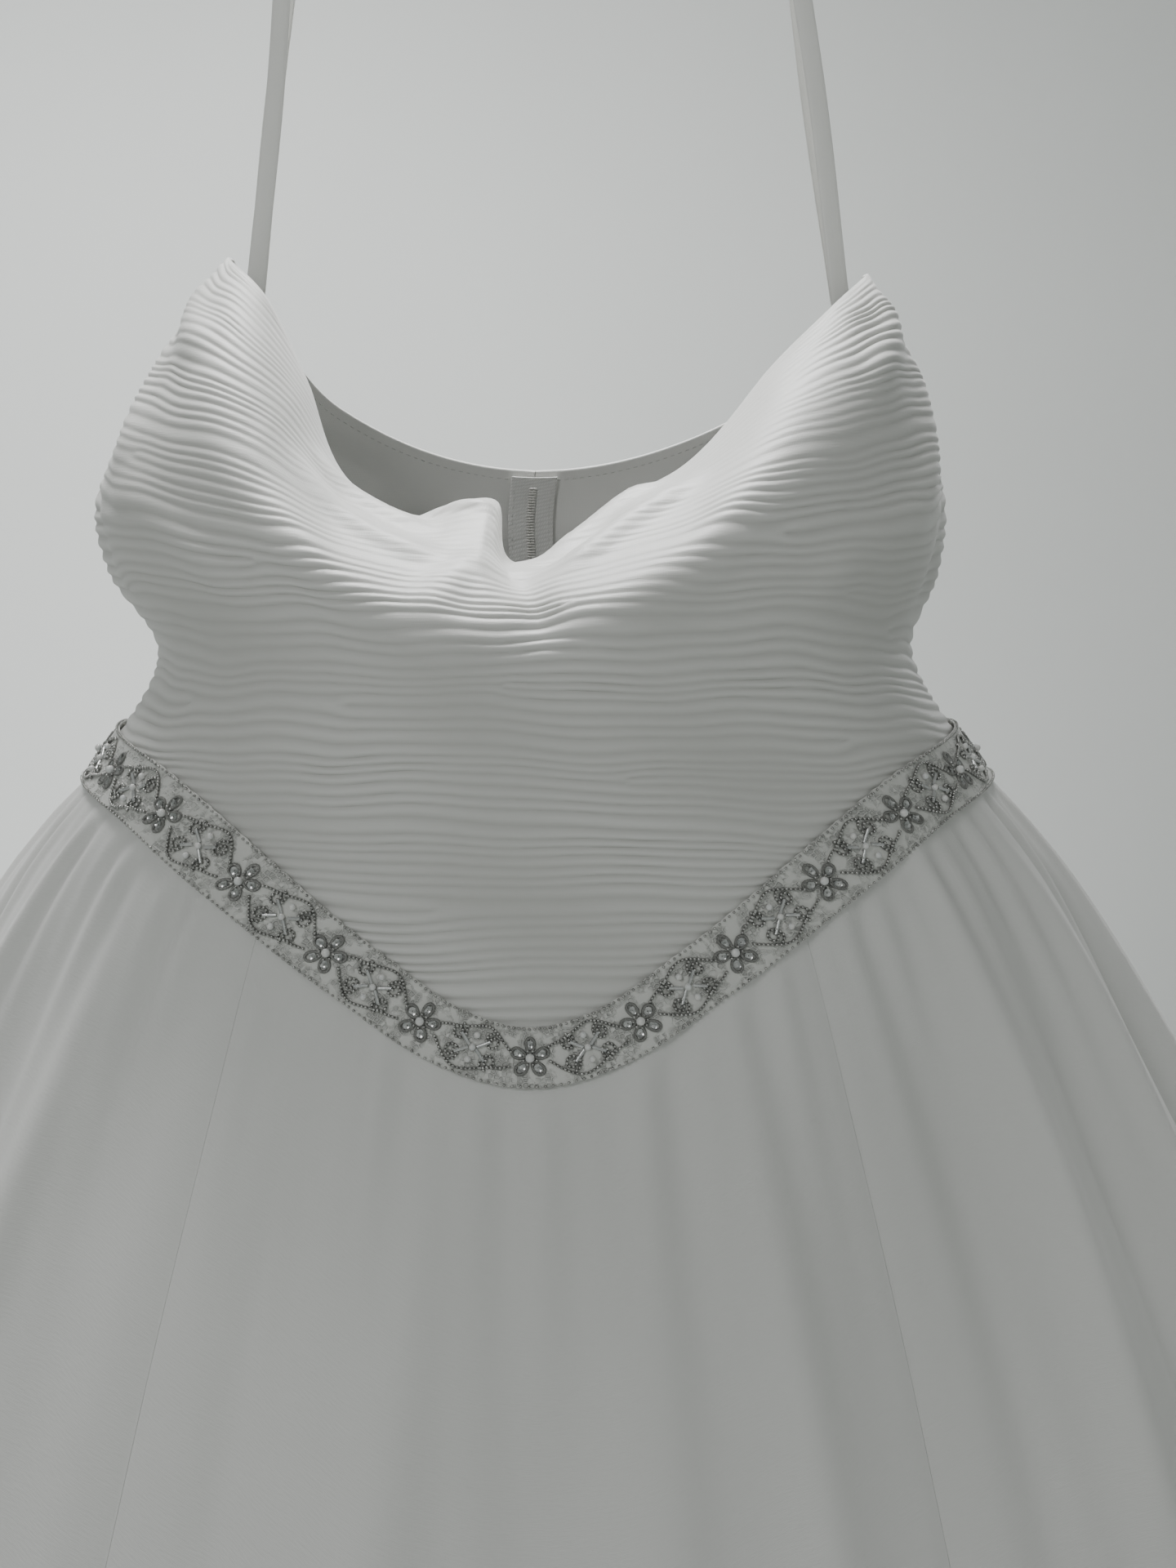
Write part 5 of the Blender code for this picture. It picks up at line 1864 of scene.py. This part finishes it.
@dataclass(frozen=True)
class ZipClosure:
    """Concealed zip at the centre back: its tape and coil inside, its slider and pull outside."""

    form: GownForm
    wardrobe: Wardrobe
    end_height: float = -0.640
    inside: float = 0.0034
    tape_cloth: float = 0.0008
    tape_half_width: float = 0.010
    top_share: float = 0.85
    slider_share: float = 0.45
    slider_width: float = 0.0064
    slider_length: float = 0.0094
    slider_thickness: float = 0.0018
    slider_lift: float = 0.0006
    bridge_reach: float = 0.0022
    bridge_radius: float = 0.0005
    pull_length: float = 0.020
    pull_thickness: float = 0.0010
    pull_bar: float = 0.0010
    window_half_width: float = 0.0011
    window_reach: float = 0.0036
    tip_radius: float = 0.0032
    coil_pitch: float = 0.0012
    tape_flat: tuple[float, float] = (0.020, 0.278)

    def run(self, offset: np.ndarray, rows: int) -> tuple[np.ndarray, np.ndarray]:
        """Find the tape's places inside the centre-back seam.

        Args:
            offset: Distances from the seam.
            rows: Number of rows up the tape.

        Returns:
            Points and outward normals, by offset and row.
        """
        straight = round(0.93 * rows)
        start = float(self.form.lean_start(np.array(math.pi)))
        heights = np.linspace(self.end_height, start, straight)
        shares = np.linspace(0, self.top_share, rows - straight + 1)[1:]
        over = self.form.leaning(np.full(shares.shape, math.pi), shares)[:, 2]
        half_width = through(self.form.sections, np.concatenate([heights, over]), 1)
        angles = math.pi + np.arcsin(offset[:, None] / half_width)
        points = np.concatenate([
            self.form.body(angles[:, :straight], heights + 0 * angles[:, :straight]),
            self.form.leaning(angles[:, straight:], shares + 0 * angles[:, straight:])], axis=1)
        normals = sheet_normals(points)
        return points - normals * self.inside, normals

    def draw_tape(self) -> bpy.types.Object:
        """Draw the tape.

        Returns:
            The piece.
        """
        offset = self.tape_half_width * np.array([-1, -0.97, -0.8, -0.5, -0.2, 0, 0.2, 0.5, 0.8, 0.97, 1])
        points, normals = self.run(offset, 110)
        half = rim(self.tape_half_width - np.abs(offset), self.tape_cloth)[:, None, None]
        length = np.linspace(0, 0.27, points.shape[1])
        flat = np.stack([offset[:, None] + 0 * length, length + 0 * offset[:, None]], axis=-1)
        draft = MeshDraft()
        middle = points - normals * 0.5 * self.tape_cloth
        draft.add_wall(middle + normals * half, middle - normals * half, flat)
        piece = draft.finish("woven_zip_tape", [self.wardrobe.tape])
        fix(piece, ["zip_tape"])
        return piece

    def draw_coil(self) -> list[bpy.types.Object]:
        """Draw the zip's coil and the stitches that hold its tape.

        Returns:
            The pieces.
        """
        points, normals = self.run(np.array([-0.002, 0.0, 0.002]), 130)
        line, facing = points[1], normals[1]
        run = np.concatenate([[0], np.cumsum(np.linalg.norm(np.diff(line, axis=0), axis=1))])
        places = np.arange(0.003, run[-1] - 0.004, self.coil_pitch)
        middle, out = (np.stack([np.interp(places, run, values[:, axis]) for axis in range(3)], axis=1)
                       for values in (line, facing))
        across = np.tile([1.0, 0.0, 0.0], (len(places), 1))
        frames = np.stack([across, np.cross(out, across), out], axis=1)
        coil = MeshDraft()
        for shift in (-1, 1):
            coil.add_copies(Shape.bead(), middle - out * (self.tape_cloth + 0.0008) +
                            across * 0.0007 * shift, frames,
                            np.tile([0.0011, 0.00060, 0.00062], (len(places), 1)))
        sewn = MeshDraft()
        for offset in (-0.0082, 0.0082):
            points, normals = self.run(np.array([offset - 0.001, offset, offset + 0.001]), 120)
            add_stitches(sewn, points[1] - normals[1] * self.tape_cloth, -normals[1], 0.0034, 0.0023, 0.0004)
        return [fix(coil.finish("zip_coil", [self.wardrobe.plastic])),
                fix(sewn.finish("zip_stitches", [self.wardrobe.sewing]))]

    def draw_slider(self) -> bpy.types.Object:
        """Draw the slider's shield and the bridge that its pull hangs from.

        Returns:
            The piece.
        """
        share = np.array([self.slider_share, self.slider_share + 0.05])
        here, above = self.form.leaning(np.full(2, math.pi), share)
        up = unit(above - here)
        across = np.array([1.0, 0.0, 0.0])
        out = np.cross(up, across)
        frame = np.stack([across, up, out])
        turns = np.linspace(0, 2 * math.pi, 40, endpoint=False)
        narrow = 1 - 0.16 * np.sin(turns)
        x = 0.5 * self.slider_width * np.sign(np.cos(turns)) * np.abs(np.cos(turns)) ** 0.6 * narrow
        y = 0.5 * self.slider_length * np.sign(np.sin(turns)) * np.abs(np.sin(turns)) ** 0.6
        draft = MeshDraft()
        middle = here + out * (self.slider_lift + 0.5 * self.slider_thickness)
        draft.add_copies(plate([list(zip(x.tolist(), y.tolist()))], self.slider_thickness, 0.0005),
                         middle[None],
                         frame[None], np.ones((1, 3)))
        face = self.slider_lift + self.slider_thickness
        roof = face + 0.0031
        arch = np.linspace(math.pi, 0, 22)
        along = self.bridge_reach * np.cos(arch)
        height = face - 0.0003 + (roof - face + 0.0003) * np.sin(arch) ** 0.6
        path = here + along[:, None] * up + height[:, None] * out
        draft.add_tube(path, np.tile(across, (len(path), 1)), self.bridge_radius, 10)
        return fix(draft.finish("cast_slider", [self.wardrobe.metal]), ["zip_slider"])

    def draw_pull(self) -> bpy.types.Object:
        """Draw the teardrop pull with a raised rim.

        Returns:
            The piece.
        """
        bar = 0.5 * self.pull_bar
        neck = self.window_half_width + self.pull_bar
        centre = -(self.pull_length - bar - self.tip_radius)
        arc = np.radians(np.linspace(195, 345, 22))
        tip = [(self.tip_radius * math.cos(turn), centre + self.tip_radius * math.sin(turn)) for turn in arc]
        outer = [(neck, bar), (-neck, bar), (-neck, -self.window_reach), *tip, (neck, -self.window_reach)]
        window = [(self.window_half_width, -bar), (-self.window_half_width, -bar),
                  (-self.window_half_width, -self.window_reach), (self.window_half_width, -self.window_reach)]
        hinge = np.array(frame["joints"][0]["pos_m"], float)
        turned = np.array([[1.0, 0.0, 0.0], [0.0, 0.0, 1.0], [0.0, -1.0, 0.0]])
        draft = MeshDraft()
        draft.add_copies(plate([outer, window], self.pull_thickness, 0.0003), hinge[None], turned[None],
                         np.ones((1, 3)))
        inset = [(0.80 * x, 0.80 * (y - centre) + centre) for x, y in tip]
        inset.append((0.55 * neck, -self.window_reach - 0.0022))
        inset.insert(0, (-0.55 * neck, -self.window_reach - 0.0022))
        for face in (-1, 1):
            path = np.array([hinge + (x, face * 0.5 * self.pull_thickness, y) for x, y in inset])
            draft.add_tube(path, np.tile([0.0, 1.0, 0.0], (len(path), 1)), 0.00028, 8, closed=True)
        return fix(draft.finish("cast_pull", [self.wardrobe.metal]), ["zip_pull"], PULL_BODY)

    def build(self) -> list[bpy.types.Object]:
        """Build the zip.

        Returns:
            The pieces.
        """
        return [self.draw_tape(), *self.draw_coil(), self.draw_slider(), self.draw_pull()]


# ---------------------------------------------------------------- studio


@dataclass(frozen=True)
class Studio:
    """Pale floor that curves up into a round wall, soft lights, and the camera."""

    wardrobe: Wardrobe
    floor_height: float = -1.566
    radius: float = 7.0
    cove: float = 2.4
    wall_top: float = 6.0
    camera_target: tuple[float, float, float] = (0.019, -0.06, -0.4915)
    camera_distance: float = 0.62
    camera_pitch: float = math.radians(5)
    camera_lens: float = 40.05

    def build_floor(self) -> None:
        """Turn the floor and its wall from one profile."""
        bend = np.linspace(0, math.pi / 2, 18)
        profile = [(0.01, 0.0), (1.0, 0.0), (2.5, 0.0)]
        profile += [(self.radius - self.cove * (1 - math.sin(turn)), self.cove * (1 - math.cos(turn)))
                    for turn in bend]
        profile.append((self.radius, self.wall_top))
        turns = np.linspace(0, 2 * math.pi, 97)[:-1]
        points = np.array([[(reach * math.cos(turn), reach * math.sin(turn), self.floor_height + height)
                            for reach, height in profile] for turn in turns])
        draft = MeshDraft()
        numbers = draft.add_points(points)
        draft.add_grid(np.concatenate([numbers, numbers[:1]]), inside_out=True)
        draft.faces.append(numbers[:, 0].tolist())
        draft.sides.append(0)
        draft.finish("studio_floor", [self.wardrobe.paint])

    def add_light(self, name: str, place: tuple[float, float, float], aim: tuple[float, float, float],
                  size: tuple[float, float], power: float) -> None:
        """Add a soft light.

        Args:
            name: The light's name.
            place: Where it is.
            aim: What it faces.
            size: Its width and height.
            power: Its power in watts.
        """
        lamp = bpy.data.lights.new(name, "AREA")
        lamp.shape, lamp.size, lamp.size_y, lamp.energy = "RECTANGLE", size[0], size[1], power
        holder = bpy.data.objects.new(name, lamp)
        holder.location = place
        holder.rotation_euler = (Vector(aim) - Vector(place)).to_track_quat("-Z", "Y").to_euler()
        bpy.context.scene.collection.objects.link(holder)

    def add_lights(self) -> None:
        """Light the gown softly from above, with a weak fill and an even sky."""
        world = bpy.data.worlds.new("studio_sky")
        world.use_nodes = True
        sky = world.node_tree.nodes["Background"]
        sky.inputs["Color"].default_value = (0.95, 0.98, 0.96, 1.0)
        sky.inputs["Strength"].default_value = 0.22
        bpy.context.scene.world = world
        self.add_light("overhead", (-0.10, 0.13, 0.32), (-0.02, -0.06, -0.42), (0.50, 0.32), 14.0)
        self.add_light("fill", (-1.3, -2.4, 0.9), (0.0, 0.0, -0.4), (0.9, 0.9), 14.0)
        self.add_light("rear_fill", (1.4, 2.8, 0.9), (0.0, 0.0, -0.7), (1.8, 1.8), 18.0)
        self.add_light("backdrop", (-1.0, 3.4, 1.6), (-1.6, 7.0, -0.2), (2.0, 1.2), 140.0)
        self.add_light("front_wall", (1.5, -3.8, 2.2), (2.4, -7.0, 0.6), (2.0, 1.2), 45.0)

    def add_camera(self) -> None:
        """Set the camera a little above the waist, looking slightly down at it."""
        camera = bpy.data.cameras.new("camera")
        camera.lens = self.camera_lens
        holder = bpy.data.objects.new("camera", camera)
        back = Vector((0, -math.cos(self.camera_pitch), math.sin(self.camera_pitch)))
        holder.location = Vector(self.camera_target) + back * self.camera_distance
        holder.rotation_euler = (math.pi / 2 - self.camera_pitch, 0, 0)
        bpy.context.scene.collection.objects.link(holder)
        bpy.context.scene.camera = holder

    def build(self) -> None:
        """Build the floor, the lights and the camera."""
        self.build_floor()
        self.add_lights()
        self.add_camera()


def main() -> None:
    """Build the gown, its hanger and the studio."""
    logging.basicConfig(level=logging.INFO, format="%(name)s: %(message)s")
    wardrobe, form = Wardrobe(), GownForm()
    bodice = Bodice(form, wardrobe)
    panels = [bodice.draw_front(), *(bodice.draw_back(side) for side in Side)]
    bodice.sew_edge()
    band = BeadedBand(form, wardrobe).build()
    Skirt(form, wardrobe).build()
    hanger = Hanger(wardrobe)
    hanger.build()
    Ribbons(form, wardrobe, hanger).build()
    ZipClosure(form, wardrobe).build()
    Studio(wardrobe).build()


if __name__ == "__main__":
    main()
